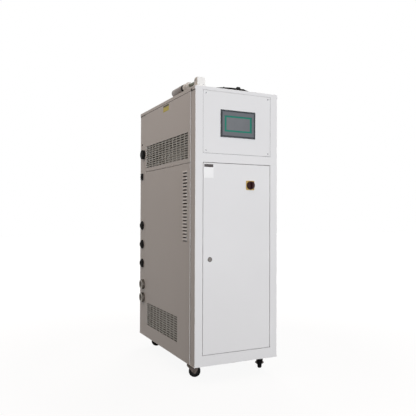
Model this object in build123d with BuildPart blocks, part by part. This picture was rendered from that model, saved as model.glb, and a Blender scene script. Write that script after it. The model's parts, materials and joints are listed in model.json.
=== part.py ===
from build123d import *
import os
from math import cos, radians, sin

os.makedirs("parts", exist_ok=True)

# Overall sizes of the cabinet, in millimetres
width = 600.0
depth = 1045.0
body_height = 1730.0
caster_height = 100.0

# Sheet metal, its folds and the gaps between pieces
sheet = 2.0
fold = 20.0
lip = 20.0
seam = 0.8
seam_line = 1.5
bend = 1.5
running = 0.05
touch_gap = 0.3
clear = 5.0

# Frame members
post_width = 55.0
panel_proud = 3.0
front_post_depth = 66.0
rear_post_depth = 121.0
bottom_rail_height = 67.0
mid_rail_height = 56.0
mid_rail_low = 1260.0
cap_lip = 22.0
base_plate = 4.0
channel_height = 30.0
channel_width = 90.0

# How far the fluid ports and the switch knob stand out of the sheet metal
port_reach = 20.0
knob_reach = 42.0

# Places worked out from the sizes above
left = -(width + port_reach) / 2 + port_reach
right = left + width
mid_x = (left + right) / 2
front = -(depth + knob_reach) / 2 + knob_reach
rear = front + depth
mid_y = (front + rear) / 2
body_bottom = caster_height
body_top = body_bottom + body_height
base_top = body_bottom + base_plate
cap_bottom = body_top - cap_lip
panel_seam = body_bottom + mid_rail_low
mid_rail_top = panel_seam + mid_rail_height
post_face = left + panel_proud
opening_left = left + post_width
opening_right = right - post_width
opening_bottom = body_bottom + bottom_rail_height
side_front = front + front_post_depth
side_rear = rear - rear_post_depth
mid_plane = Plane.YZ.offset(mid_x)


def save(piece, name):
    """Label a finished piece and write it to its own file."""
    piece.part.label = name
    export_step(piece.part, f"parts/{name}.step")


def flat(u0, v0, u1, v1, mode=Mode.ADD):
    """A rectangle between two corners in the plane of the sketch."""
    with Locations(((u0 + u1) / 2, (v0 + v1) / 2)):
        Rectangle(abs(u1 - u0), abs(v1 - v0), mode=mode)


def bar(x0, y0, z0, x1, y1, z1, mode=Mode.ADD):
    """An upright block between two opposite corners."""
    with BuildSketch(Plane.XY.offset(z0)) as footprint:
        flat(x0, y0, x1, y1)
    extrude(footprint.sketch, amount=z1 - z0, mode=mode)


def mirrored(piece):
    """The same piece on the other side of the cabinet."""
    with BuildPart() as other:
        mirror(piece.part, about=mid_plane)
    return other


# Base: a plate on the whole footprint, with folded channels across it that stiffen it
channel_side = sheet + fold + seam
channel_places = (side_front + channel_width / 2 + seam, mid_y, side_rear - channel_width / 2 - seam)

with BuildPart() as base_frame:
    bar(left, front, body_bottom, right, rear, base_top)
    for y in channel_places:
        near = y - channel_width / 2
        far = y + channel_width / 2
        bar(left + channel_side, near, base_top, right - channel_side, far, base_top + channel_height)
        bar(left + channel_side, near + sheet, base_top, right - channel_side, far - sheet,
            base_top + channel_height - sheet, mode=Mode.SUBTRACT)
save(base_frame, "base_frame")


# Corner posts: folded channels that are open to the inside, with a lip on each edge
def corner_post(near, far):
    """A post in the left wall from y = near to y = far, set back a little from the side panels."""
    with BuildPart() as post:
        with BuildSketch(Plane.XY.offset(base_top)):
            flat(post_face, near, opening_left, far)
            flat(post_face + sheet, near + sheet, opening_left - sheet, far - sheet, mode=Mode.SUBTRACT)
            flat(opening_left - sheet, near + lip, opening_left, far - lip, mode=Mode.SUBTRACT)
        extrude(amount=cap_bottom - base_top)
        fillet(post.edges().filter_by(Axis.Z).group_by(Axis.X)[0], sheet / 2)
    return post


front_left_post = corner_post(front, side_front)
save(front_left_post, "front_left_post")
save(mirrored(front_left_post), "front_right_post")

rear_post = corner_post(side_rear, rear)
save(mirrored(rear_post), "rear_right_post")

# Front rails: folded channels between the posts, under and over the door
with BuildPart() as front_rails:
    for low, high in ((base_top, opening_bottom), (panel_seam, mid_rail_top)):
        bar(opening_left, front, low, opening_right, side_front, high)
        bar(opening_left, front + sheet, low + sheet, opening_right, side_front, high - sheet,
            mode=Mode.SUBTRACT)
save(front_rails, "front_rails")

# Side panels: pans with folded edges, and a window in each for its grille
panel_front = side_front + seam
panel_rear = side_rear - seam
grille_overlap = 10.0
upper_grille_front_in = 38.0
upper_grille_rear_in = 23.0
upper_grille_low = 30.0
upper_grille_height = 165.0
lower_grille_front_in = 205.0
lower_grille_rear_in = 54.0
lower_grille_low = 95.0
lower_grille_height = 167.0
upper_window = (panel_front + upper_grille_front_in, panel_seam + upper_grille_low,
                panel_rear - upper_grille_rear_in, panel_seam + upper_grille_low + upper_grille_height)
lower_window = (panel_front + lower_grille_front_in, body_bottom + lower_grille_low,
                panel_rear - lower_grille_rear_in, body_bottom + lower_grille_low + lower_grille_height)


def side_pan(low, high, window):
    """A pan in the left wall between two heights, with one window through it."""
    y0, z0, y1, z1 = window
    with BuildPart() as pan:
        bar(left, panel_front, low, left + fold, panel_rear, high)
        fillet(pan.faces().sort_by(Axis.X)[0].edges(), bend)
        bar(left + sheet, panel_front + sheet, low + sheet, left + fold, panel_rear - sheet, high - sheet,
            mode=Mode.SUBTRACT)
        bar(left, y0, z0, left + sheet, y1, z1, mode=Mode.SUBTRACT)
    return pan


# Louvres: pressed hoods in the lower panel, closed at both ends and open at the lower edge
louvre_count = 21
louvre_pitch = 21.6
louvre_length = 70.0
louvre_front_in = 48.0
louvre_top_down = 35.4
louvre_rise = 11.0
louvre_out = 6.0
louvre_end = 7.0
louvre_brow = 2.0
louvre_sheet = 1.2
louvre_y = panel_front + louvre_front_in + louvre_length / 2
louvre_first = panel_seam - louvre_top_down - louvre_count * louvre_pitch
louvre_places = [louvre_first + count * louvre_pitch for count in range(louvre_count)]
slot_length = louvre_length - 2 * louvre_sheet
slot_height = louvre_rise - 2 * louvre_sheet


def hood_form(length, rise, low, brow, reach, mode):
    """A wedge on the plane of the wall that slopes out to its lower edge, with sloping ends."""
    with BuildSketch(Plane.YZ) as foot:
        flat(-length / 2, low, length / 2, rise)
    with BuildSketch(Plane.YZ.offset(-reach)) as edge:
        flat(louvre_end - length / 2, low, length / 2 - louvre_end, brow)
    loft(sections=[foot.sketch, edge.sketch], ruled=True, mode=mode)


with BuildPart() as louvre_hood:
    hood_form(louvre_length, louvre_rise, 0, louvre_brow, louvre_out, Mode.ADD)
    hood_form(slot_length, slot_height, -louvre_sheet, louvre_brow - louvre_sheet,
              louvre_out - louvre_sheet, Mode.SUBTRACT)


left_upper_panel = side_pan(panel_seam + seam_line, cap_bottom - seam_line, upper_window)
save(left_upper_panel, "left_upper_panel")
save(mirrored(left_upper_panel), "right_upper_panel")

lower_pan = side_pan(base_top + touch_gap, panel_seam - seam_line, lower_window)

with BuildPart() as left_lower_panel:
    add(lower_pan.part)
    with Locations(*[(left, louvre_y, low) for low in louvre_places]):
        add(louvre_hood.part)
    with BuildSketch(Plane.YZ.offset(left)):
        with Locations(*[(louvre_y, low + slot_height / 2) for low in louvre_places]):
            Rectangle(slot_length, slot_height)
    extrude(amount=sheet, mode=Mode.SUBTRACT)
save(left_lower_panel, "left_lower_panel")
save(mirrored(left_lower_panel), "right_lower_panel")

# Grilles: slotted plates behind the windows, every second row moved by half a pitch
grille_rows = 8
upper_grille_columns = 9
lower_grille_columns = 7
slot_share = 0.72
slot_rise = 0.5


def slotted_plate(window, columns):
    """A slotted plate that lies on the inside of the left wall."""
    y0, z0, y1, z1 = window
    pitch_y = (y1 - y0) / (columns + 0.5)
    pitch_z = (z1 - z0) / grille_rows
    with BuildPart() as plate:
        with BuildSketch(Plane.YZ.offset(left + sheet)):
            flat(y0 - grille_overlap, z0 - grille_overlap, y1 + grille_overlap, z1 + grille_overlap)
            for row in range(grille_rows):
                z = z0 + (row + 0.5) * pitch_z
                shift = pitch_y * (0.5 if row % 2 else 0.0)
                for column in range(columns):
                    with Locations((y0 + shift + (column + 0.5) * pitch_y, z)):
                        Rectangle(pitch_y * slot_share, pitch_z * slot_rise, mode=Mode.SUBTRACT)
        extrude(amount=sheet)
    return plate


left_upper_grille = slotted_plate(upper_window, upper_grille_columns)
save(left_upper_grille, "left_upper_grille")
save(mirrored(left_upper_grille), "right_upper_grille")

left_lower_grille = slotted_plate(lower_window, lower_grille_columns)
save(left_lower_grille, "left_lower_grille")
save(mirrored(left_lower_grille), "right_lower_grille")

# Rear panels: two pans between the rear posts, flush with their rear faces
with BuildPart() as rear_panels:
    for low, high in ((base_top + touch_gap, panel_seam - seam_line),
                      (panel_seam + seam_line, cap_bottom - seam_line)):
        bar(opening_left + seam, rear - fold, low, opening_right - seam, rear, high)
    fillet(rear_panels.faces().filter_by(Axis.Y).group_by(Axis.Y)[-1].edges(), bend)
    for low, high in ((base_top + touch_gap, panel_seam - seam_line),
                      (panel_seam + seam_line, cap_bottom - seam_line)):
        bar(opening_left + seam + sheet, rear - fold, low + sheet, opening_right - seam - sheet,
            rear - sheet, high - sheet, mode=Mode.SUBTRACT)
save(rear_panels, "rear_panels")

# Control panel: a pan over the mid rail, with a window for the touch screen
screen_width = 249.0
screen_height = 171.0
screen_side_step = 1.5
screen_drop = 2.5
screen_mid_x = mid_x + screen_side_step
screen_mid_z = (mid_rail_top + cap_bottom) / 2 - screen_drop
screen_proud = 6.0
screen_body_depth = 45.0
bezel_wall = 4.0
window_clear = 1.5
bezel_back = front - screen_proud
screen_body_width = screen_width - 2 * (bezel_wall + window_clear)
screen_body_height = screen_height - 2 * (bezel_wall + window_clear)

with BuildPart() as control_panel:
    bar(opening_left + seam, front, mid_rail_top + seam,
        opening_right - seam, front + fold, cap_bottom - seam)
    fillet(control_panel.faces().sort_by(Axis.Y)[0].edges(), bend)
    bar(opening_left + seam + sheet, front + sheet, mid_rail_top + seam + sheet,
        opening_right - seam - sheet, front + fold, cap_bottom - seam - sheet, mode=Mode.SUBTRACT)
    with BuildSketch(Plane.XZ.offset(-front - sheet)):
        with Locations((screen_mid_x, screen_mid_z)):
            Rectangle(screen_body_width + 2 * window_clear, screen_body_height + 2 * window_clear)
    extrude(amount=sheet, mode=Mode.SUBTRACT)
save(control_panel, "control_panel")

# Touch screen: a bezel on the panel, its housing behind, the framed glass let into it
glass_frame_width = 198.0
glass_frame_height = 102.0
glass_frame_depth = 4.0
glass_recess = 1.5
display_width = 170.0
display_height = 80.0
display_depth = 2.0

with BuildPart() as touch_screen_bezel:
    with BuildSketch(Plane.XZ.offset(-front)):
        with Locations((screen_mid_x, screen_mid_z)):
            Rectangle(screen_width, screen_height)
    extrude(amount=screen_proud)
    chamfer(touch_screen_bezel.faces().sort_by(Axis.Y)[0].edges(), screen_proud / 3)
    with BuildSketch(Plane.XZ.offset(-front)):
        with Locations((screen_mid_x, screen_mid_z)):
            Rectangle(screen_body_width, screen_body_height)
    extrude(amount=-screen_body_depth)
    with BuildSketch(Plane.XZ.offset(-bezel_back)):
        with Locations((screen_mid_x, screen_mid_z)):
            Rectangle(glass_frame_width, glass_frame_height)
    extrude(amount=-(glass_frame_depth + glass_recess), mode=Mode.SUBTRACT)
save(touch_screen_bezel, "touch_screen_bezel")

with BuildPart() as touch_screen_frame:
    with BuildSketch(Plane.XZ.offset(-bezel_back - glass_recess)):
        with Locations((screen_mid_x, screen_mid_z)):
            Rectangle(glass_frame_width, glass_frame_height)
    extrude(amount=-glass_frame_depth)
    with BuildSketch(Plane.XZ.offset(-bezel_back - glass_recess)):
        with Locations((screen_mid_x, screen_mid_z)):
            Rectangle(display_width, display_height)
    extrude(amount=-display_depth, mode=Mode.SUBTRACT)
save(touch_screen_frame, "touch_screen_frame")

with BuildPart() as touch_screen_display:
    with BuildSketch(Plane.XZ.offset(-bezel_back - glass_recess)):
        with Locations((screen_mid_x, screen_mid_z)):
            Rectangle(display_width, display_height)
    extrude(amount=-display_depth)
save(touch_screen_display, "touch_screen_display")

# Roof cap: a folded tray with a round hole for the fan
fan_radius = 200.0
fan_front_in = 256.0
fan_side_step = 15.0
fan_proud = 21.0
fan_wall = 3.0
fan_throat = 172.0
fan_drop = 70.0
fan_x = mid_x + fan_side_step
fan_y = front + fan_front_in
cap_radius = 3.0

with BuildPart() as roof_cap:
    bar(left, front, cap_bottom, right, rear, body_top)
    fillet(roof_cap.edges().filter_by(Axis.Z), cap_radius)
    fillet(roof_cap.faces().sort_by(Axis.Z)[-1].edges(), cap_radius / 2)
    bar(left + sheet, front + sheet, cap_bottom, right - sheet, rear - sheet, body_top - sheet,
        mode=Mode.SUBTRACT)
    with BuildSketch(Plane.XY.offset(body_top)):
        with Locations((fan_x, fan_y)):
            Circle(fan_throat + fan_wall + running)
    extrude(amount=-sheet, mode=Mode.SUBTRACT)
save(roof_cap, "roof_cap")

# Fan ring: an outer wall on the roof, a rolled top and a throat that drops through the roof
ring_top = body_top + fan_proud

with BuildPart() as fan_ring:
    with BuildSketch(Plane(origin=(fan_x, fan_y, body_top), x_dir=(1, 0, 0), z_dir=(0, -1, 0))):
        flat(fan_radius - fan_wall, 0, fan_radius, fan_proud)
        flat(fan_throat, fan_proud - fan_wall, fan_radius, fan_proud)
        flat(fan_throat, -fan_drop, fan_throat + fan_wall, fan_proud)
    revolve(axis=Axis((fan_x, fan_y, 0), (0, 0, 1)))
save(fan_ring, "fan_ring")

# Fan motor: a stator on four flat arms that lie on the ring
motor_radius = 46.0
motor_height = 24.0
arm_width = 14.0
arm_thick = 4.0
arm_count = 4
shaft_radius = 8.0
shaft_gap = 2.0

with BuildPart() as fan_motor:
    with BuildSketch(Plane.XY.offset(ring_top)):
        with Locations((fan_x, fan_y)):
            with PolarLocations(0, arm_count, start_angle=45):
                with Locations(((fan_radius - fan_wall) / 2, 0)):
                    Rectangle(fan_radius - fan_wall, arm_width)
            Circle(motor_radius)
    extrude(amount=arm_thick)
    with BuildSketch(Plane.XY.offset(ring_top)):
        with Locations((fan_x, fan_y)):
            Circle(motor_radius)
    extrude(amount=-motor_height)
    with BuildSketch(Plane.XY.offset(ring_top - motor_height)):
        with Locations((fan_x, fan_y)):
            Circle(shaft_radius + running)
    extrude(amount=motor_height - arm_thick, mode=Mode.SUBTRACT)
save(fan_motor, "fan_motor")

# Fan rotor: a hub under the motor, a shaft up into it, and swept blades that are pitched, twisted
# and hollowed on the side that pushes the air up
hub_radius = 58.0
hub_height = 46.0
hub_edge = 6.0
blade_count = 7
blade_thick = 4.0
blade_edge = 1.6
blade_camber = 0.06
blade_tip_gap = 6.0
blade_root_pitch = 40.0
blade_tip_pitch = 24.0
blade_root_chord = 62.0
blade_tip_chord = 120.0
blade_sweep = 26.0
hub_top = ring_top - motor_height - shaft_gap
hub_mid = hub_top - hub_height / 2
blade_tip = fan_throat - blade_tip_gap


def blade_section(reach, chord, pitch, turn, sweep):
    """One blade section, square to a radius at the given angle about the shaft."""
    out = Vector(cos(radians(turn)), sin(radians(turn)), 0)
    along = Vector(-sin(radians(turn)), cos(radians(turn)), 0)
    place = Vector(fan_x, fan_y, hub_mid) + out * reach + along * sweep
    tilted = along * cos(radians(pitch)) + Vector(0, 0, 1) * sin(radians(pitch))
    dip = blade_camber * chord
    with BuildSketch(Plane(origin=place, x_dir=tilted, z_dir=out)) as section:
        with BuildLine():
            upper = ThreePointArc((-chord / 2, blade_edge / 2), (0, blade_thick / 2 - dip),
                                  (chord / 2, blade_edge / 2))
            lower = ThreePointArc((-chord / 2, -blade_edge / 2), (0, -blade_thick / 2 - dip),
                                  (chord / 2, -blade_edge / 2))
            Line(upper @ 0, lower @ 0)
            Line(upper @ 1, lower @ 1)
        make_face()
    return section


with BuildPart() as fan_rotor:
    with BuildSketch(Plane.XY.offset(hub_top)):
        with Locations((fan_x, fan_y)):
            Circle(hub_radius)
    extrude(amount=-hub_height)
    chamfer(fan_rotor.faces().sort_by(Axis.Z)[0].edges(), hub_edge)
    with BuildSketch(Plane.XY.offset(hub_top)):
        with Locations((fan_x, fan_y)):
            Circle(shaft_radius)
    extrude(amount=motor_height - arm_thick)
    for blade in range(blade_count):
        turn = 360 / blade_count * blade
        root = blade_section(hub_radius - blade_thick, blade_root_chord, blade_root_pitch, turn, 0)
        tip = blade_section(blade_tip + blade_thick, blade_tip_chord, blade_tip_pitch, turn, blade_sweep)
        loft(sections=[root.sketch, tip.sketch], ruled=True)
    with BuildSketch(Plane.XY.offset(hub_top - fan_drop)):
        with Locations((fan_x, fan_y)):
            Circle(blade_tip)
    extrude(amount=2 * fan_drop, mode=Mode.INTERSECT)
save(fan_rotor, "fan_rotor")

# Fan guard: rings of wire on a shallow dome, carried by bent spokes that stand on the fan ring
guard_wire = 4.0
guard_rings = 7
guard_spokes = 8
guard_rise = 24.0
guard_edge = fan_radius - guard_wire
guard_hub = 30.0
guard_low = ring_top + arm_thick


def dome(reach):
    """Height of the dome over its edge at a distance from the middle."""
    return guard_rise * (1 - (reach / guard_edge) ** 2)


with BuildPart() as fan_guard:
    with BuildSketch(Plane(origin=(fan_x, fan_y, guard_low), x_dir=(1, 0, 0), z_dir=(0, -1, 0))):
        for ring in range(guard_rings):
            reach = guard_hub + (guard_edge - guard_hub) * ring / (guard_rings - 1)
            low = dome(reach)
            flat(reach - guard_wire / 2, low, reach + guard_wire / 2, low + guard_wire)
    revolve(axis=Axis((fan_x, fan_y, 0), (0, 0, 1)))
    for spoke in range(guard_spokes):
        turn = 360 / guard_spokes * (spoke + 0.5)
        side = Plane(origin=(fan_x, fan_y, guard_low), x_dir=(cos(radians(turn)), sin(radians(turn)), 0),
                     z_dir=(sin(radians(turn)), -cos(radians(turn)), 0))
        with BuildSketch(side):
            with BuildLine():
                upper = ThreePointArc((0, guard_rise + guard_wire / 2),
                                      (guard_edge / 2, dome(guard_edge / 2) + guard_wire / 2),
                                      (guard_edge, guard_wire / 2))
                offset(upper, amount=guard_wire / 4, side=Side.BOTH)
            make_face()
        extrude(amount=guard_wire / 2, both=True)
save(fan_guard, "fan_guard")

# Fan connection box: a small box on the roof, against the front of the ring
box_width = 40.0
box_depth = 22.0
box_height = 36.0
box_step = 12.0
box_corner = 3.0
box_edge = 2.0
box_rear = fan_y - fan_radius - touch_gap

with BuildPart() as fan_connection_box:
    bar(fan_x + box_step - box_width / 2, box_rear - box_depth, body_top,
        fan_x + box_step + box_width / 2, box_rear, body_top + box_height)
    fillet(fan_connection_box.edges().filter_by(Axis.Z), box_corner)
    chamfer(fan_connection_box.faces().sort_by(Axis.Z)[-1].edges(), box_edge)
save(fan_connection_box, "fan_connection_box")

# Door: a pan between the posts, with holes for the switch and the lock
door_gap = 3.0
door_fold = 18.0
door_left = opening_left + door_gap
door_right = opening_right - door_gap
door_low = opening_bottom + door_gap
door_high = panel_seam - door_gap
switch_side_in = 150.0
switch_down = 133.0
spindle_radius = 6.0
lock_side_in = 47.0
lock_drop = 6.5
lock_radius = 10.0
switch_x = door_right - switch_side_in
switch_z = door_high - switch_down
lock_x = door_left + lock_side_in
lock_z = (door_low + door_high) / 2 - lock_drop


def front_disc(x, z, y, radius, amount, mode=Mode.ADD):
    """A cylinder along Y; a positive amount runs towards the front from y."""
    with BuildSketch(Plane.XZ.offset(-y)) as disc:
        with Locations((x, z)):
            Circle(radius)
    extrude(disc.sketch, amount=amount, mode=mode)


with BuildPart() as door:
    bar(door_left, front, door_low, door_right, front + door_fold, door_high)
    fillet(door.faces().sort_by(Axis.Y)[0].edges(), bend)
    bar(door_left + sheet, front + sheet, door_low + sheet, door_right - sheet, front + door_fold,
        door_high - sheet, mode=Mode.SUBTRACT)
    front_disc(switch_x, switch_z, front, spindle_radius + seam, -sheet, mode=Mode.SUBTRACT)
    front_disc(lock_x, lock_z, front, lock_radius, -sheet, mode=Mode.SUBTRACT)
save(door, "door")

# Door hinges: three lift-off butts, their leaves hidden in the gap beside the door
hinge_radius = 4.0
hinge_pin = 2.0
hinge_half = 30.0
hinge_leaf = 1.2
hinge_end_in = 110.0
hinge_x = opening_right - door_gap / 2
hinge_y = front - hinge_radius
hinge_places = (door_low + hinge_end_in, (door_low + door_high) / 2, door_high - hinge_end_in)

with BuildPart() as hinge_frame_leaves:
    for z in hinge_places:
        with BuildSketch(Plane.XY.offset(z - hinge_half)) as lower:
            with Locations((hinge_x, hinge_y)):
                Circle(hinge_radius)
            flat(opening_right - hinge_leaf, hinge_y, opening_right, front + door_fold)
        extrude(lower.sketch, amount=hinge_half)
        with BuildSketch(Plane.XY.offset(z)) as pin:
            with Locations((hinge_x, hinge_y)):
                Circle(hinge_pin)
        extrude(pin.sketch, amount=hinge_half - seam)
save(hinge_frame_leaves, "hinge_frame_leaves")

with BuildPart() as hinge_door_leaves:
    for z in hinge_places:
        with BuildSketch(Plane.XY.offset(z + touch_gap)) as upper:
            with Locations((hinge_x, hinge_y)):
                Circle(hinge_radius)
            flat(door_right, hinge_y, door_right + hinge_leaf, front + door_fold)
            with Locations((hinge_x, hinge_y)):
                Circle(hinge_pin + running, mode=Mode.SUBTRACT)
        extrude(upper.sketch, amount=hinge_half)
save(hinge_door_leaves, "hinge_door_leaves")

# Main switch: a square plate on the door, the switch behind it, and a knob that turns in both
plate_size = 60.0
plate_thick = 4.0
switch_width = 56.0
switch_height = 60.0
switch_depth = 58.0
plate_corner = 4.0
knob_radius = 26.0
knob_base = 16.0
knob_edge = 2.0
grip_width = 14.0
grip_end_in = 3.0
grip_edge = 1.5
grip_taper = 4.0
spindle_in = 24.0
spindle_clear = 1.0

with BuildPart() as switch_plate:
    with BuildSketch(Plane.XZ.offset(-front)):
        with Locations((switch_x, switch_z)):
            Rectangle(plate_size, plate_size)
    extrude(amount=plate_thick)
    fillet(switch_plate.edges().filter_by(Axis.Y), plate_corner)
    front_disc(switch_x, switch_z, front, spindle_radius + running, plate_thick, mode=Mode.SUBTRACT)
save(switch_plate, "switch_plate")

with BuildPart() as switch_body:
    with BuildSketch(Plane.XZ.offset(-front - sheet)):
        with Locations((switch_x, switch_z)):
            Rectangle(switch_width, switch_height)
    extrude(amount=-switch_depth)
    front_disc(switch_x, switch_z, front + sheet, spindle_radius + running, -spindle_in, mode=Mode.SUBTRACT)
save(switch_body, "switch_body")

knob_back = front - plate_thick - touch_gap
knob_front = front - knob_reach
spindle_end = front + sheet + spindle_in - spindle_clear

with BuildPart() as switch_knob:
    front_disc(switch_x, switch_z, knob_back, knob_radius, knob_base)
    chamfer(switch_knob.faces().sort_by(Axis.Y)[0].edges(), knob_edge)
    with BuildSketch(Plane.XZ.offset(-knob_back + knob_base)):
        with Locations((switch_x, switch_z)):
            RectangleRounded(grip_width, 2 * (knob_radius - grip_end_in), grip_width / 4)
    extrude(amount=knob_back - knob_base - knob_front, taper=grip_taper)
    chamfer(switch_knob.faces().sort_by(Axis.Y)[0].edges(), grip_edge)
    front_disc(switch_x, switch_z, knob_back, spindle_radius, knob_back - spindle_end)
save(switch_knob, "switch_knob")

# Door lock: a barrel through the door and a cam that turns behind the post's lip
lock_flange = 14.0
lock_proud = 2.5
lock_edge = 1.0
key_face = 7.0
key_face_in = 0.8
key_slot_width = 3.0
key_slot_height = 10.0
key_slot_in = 7.5
cam_thick = 3.0
cam_width = 16.0
cam_pin = 4.0
cam_pin_length = 9.2
cam_pin_clear = 0.8
cam_front = front + lip + clear
cam_length = lock_x - opening_left + lock_radius

with BuildPart() as lock_barrel:
    front_disc(lock_x, lock_z, front, lock_flange, lock_proud)
    chamfer(lock_barrel.faces().sort_by(Axis.Y)[0].edges(), lock_edge)
    front_disc(lock_x, lock_z, front, lock_radius, -(cam_front - front - touch_gap))
    front_disc(lock_x, lock_z, front - lock_proud, key_face, -key_face_in, mode=Mode.SUBTRACT)
    with BuildSketch(Plane.XZ.offset(-front + lock_proud)):
        with Locations((lock_x, lock_z)):
            Rectangle(key_slot_width, key_slot_height)
    extrude(amount=-key_slot_in, mode=Mode.SUBTRACT)
    front_disc(lock_x, lock_z, cam_front, cam_pin + running, cam_pin_length + cam_pin_clear,
               mode=Mode.SUBTRACT)
save(lock_barrel, "lock_barrel")

with BuildPart() as lock_cam:
    with BuildSketch(Plane.XZ.offset(-cam_front)):
        with Locations((lock_x, lock_z)):
            Circle(cam_width / 2)
            with Locations((0, -(cam_length - cam_width / 2) / 2)):
                Rectangle(cam_width, cam_length - cam_width / 2)
    extrude(amount=-cam_thick)
    front_disc(lock_x, lock_z, cam_front, cam_pin, cam_pin_length)
save(lock_cam, "lock_cam")

# Casters: plates under the base, swivel forks, wheels, and brake pedals on the front pair
caster_plate_long = 92.0
caster_plate_wide = 66.0
caster_plate_thick = 3.0
plate_corner_radius = 8.0
race_radius = 28.0
race_height = 4.0
race_edge = 1.5
kingpin_radius = 6.0
wheel_radius = 37.5
tyre_width = 24.0
tread_edge = 5.0
rim_radius = 28.0
web_outer = 25.0
web_inner = 13.0
web_half = 5.0
wheel_hub = 11.0
hub_clear = 0.5
fork_wall = 3.5
fork_gap = 34.0
crown_thick = 3.0
crown_front = 24.0
crown_rear = 22.0
cheek_drop = 5.0
cheek_rear = 28.0
axle_radius = 4.0
axle_boss = 12.0
swivel_head = 25.0
trail = 25.0
pedal_in = 25.0
pedal_z = 76.0
pedal_pin = 2.5
pedal_eye = 5.0
pedal_thick = 4.0
pedal_knee = 12.0
pedal_knee_rise = 3.0
pedal_reach = 34.0
pedal_rise = 7.0
pedal_clear = 1.0
braked_cheek = 6.0
pedal_x = trail + pedal_in
crown_low = 2 * wheel_radius + clear
crown_high = crown_low + crown_thick
race_low = caster_height - caster_plate_thick - race_height
fork_half = fork_gap / 2 + fork_wall

# Each caster: its place beside the middle and behind the front, the way it trails, and its brake
front_track = 255.0
rear_track = 206.0
front_caster_in = 150.0
rear_caster_in = 60.0
front_caster_y = front + front_caster_in
rear_caster_y = rear - rear_caster_in
casters = {
    "front_left": (mid_x - front_track, front_caster_y, -26.0, True),
    "front_right": (mid_x + front_track, front_caster_y, -116.0, True),
    "rear_left": (mid_x - rear_track, rear_caster_y, -26.0, False),
    "rear_right": (mid_x + rear_track, rear_caster_y, -40.0, False),
}

caster_places = [(x, y) for x, y, heading, braked in casters.values()]

with BuildPart() as caster_plates:
    with BuildSketch(Plane.XY.offset(caster_height - caster_plate_thick)):
        with Locations(*caster_places):
            RectangleRounded(caster_plate_wide, caster_plate_long, plate_corner_radius)
    extrude(amount=caster_plate_thick)
    with BuildSketch(Plane.XY.offset(race_low)):
        with Locations(*caster_places):
            Circle(race_radius)
    extrude(amount=race_height)
    chamfer(caster_plates.faces().sort_by(Axis.Z)[:len(casters)].edges(), race_edge)
    with BuildSketch(Plane.XY.offset(crown_low)):
        with Locations(*caster_places):
            Circle(kingpin_radius)
    extrude(amount=race_low - crown_low)
save(caster_plates, "caster_plates")


def fork_side(x, y, heading):
    """The upright plane through the swivel along the trail, with Z up."""
    along = (cos(radians(heading)), sin(radians(heading)), 0)
    across = (sin(radians(heading)), -cos(radians(heading)), 0)
    return Plane(origin=(x, y, 0), x_dir=along, z_dir=across)


def caster_fork(x, y, heading, braked):
    """A fork with two tapered cheeks, a crown, a swivel head and the axle."""
    side = fork_side(x, y, heading)
    cheek_end = pedal_x + braked_cheek if braked else cheek_rear
    with BuildPart() as fork:
        with BuildSketch(side) as cheek:
            flat(-crown_front, crown_low - cheek_drop, cheek_end, crown_high)
            with Locations((trail, wheel_radius)):
                Circle(axle_boss)
            make_hull()
        extrude(cheek.sketch, amount=fork_half, both=True)
        with BuildSketch(side) as between:
            flat(-race_radius, 0, cheek_end + axle_boss, crown_low)
        extrude(between.sketch, amount=fork_gap / 2, both=True, mode=Mode.SUBTRACT)
        with BuildSketch(side) as behind:
            flat(crown_rear, crown_low, cheek_end + axle_boss, crown_high)
        extrude(behind.sketch, amount=fork_gap / 2, both=True, mode=Mode.SUBTRACT)
        with BuildSketch(Plane.XY.offset(crown_low)) as head:
            with Locations((x, y)):
                Circle(swivel_head)
        extrude(head.sketch, amount=race_low - touch_gap - crown_low)
        with BuildSketch(Plane.XY.offset(crown_low)) as bore:
            with Locations((x, y)):
                Circle(kingpin_radius + running)
        extrude(bore.sketch, amount=race_low - crown_low, mode=Mode.SUBTRACT)
        with BuildSketch(side) as axle:
            with Locations((trail, wheel_radius)):
                Circle(axle_radius)
        extrude(axle.sketch, amount=fork_half, both=True)
        if braked:
            with BuildSketch(side) as pivot:
                with Locations((pedal_x, pedal_z)):
                    Circle(pedal_pin)
            extrude(pivot.sketch, amount=fork_half, both=True)
    return fork


# Half the section of a wheel: how far out from the axle, and how far from its middle plane
hub_half = fork_gap / 2 - hub_clear
tread_half = tyre_width / 2
half_section = [
    (axle_radius + running, hub_half),
    (wheel_hub, hub_half),
    (web_inner, web_half),
    (web_outer, web_half),
    (rim_radius, tread_half),
    (wheel_radius - tread_edge, tread_half),
    (wheel_radius, tread_half - tread_edge),
]


def caster_wheel(x, y, heading):
    """A wheel with a bevelled tread, dished sides and a hub that fills the fork."""
    side = fork_side(x, y, heading)
    centre = side.from_local_coords((trail, wheel_radius, 0))
    near_half = [(out, -across) for out, across in half_section]
    with BuildPart() as wheel:
        with BuildSketch(Plane(origin=centre, x_dir=(0, 0, 1), z_dir=side.x_dir)):
            with BuildLine():
                Polyline(*near_half, *reversed(half_section), close=True)
            make_face()
        revolve(axis=Axis(centre, side.z_dir))
    return wheel


def caster_pedal(x, y, heading):
    """A bent foot pedal on a pin across the fork, pointing away from the swivel."""
    side = fork_side(x, y, heading)
    with BuildPart() as pedal:
        with BuildSketch(side) as lever:
            with BuildLine():
                path = Polyline((pedal_x, pedal_z), (pedal_x + pedal_knee, pedal_z + pedal_knee_rise),
                                (pedal_x + pedal_reach, pedal_z + pedal_rise))
                offset(path, amount=pedal_thick / 2, side=Side.BOTH)
            make_face()
            with Locations((pedal_x, pedal_z)):
                Circle(pedal_eye)
                Circle(pedal_pin + running, mode=Mode.SUBTRACT)
        extrude(lever.sketch, amount=fork_gap / 2 - pedal_clear, both=True)
    return pedal


for corner, (x, y, heading, braked) in casters.items():
    save(caster_fork(x, y, heading, braked), f"caster_fork_{corner}")
    save(caster_wheel(x, y, heading), f"caster_wheel_{corner}")
    if braked:
        save(caster_pedal(x, y, heading), f"caster_pedal_{corner}")

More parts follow.
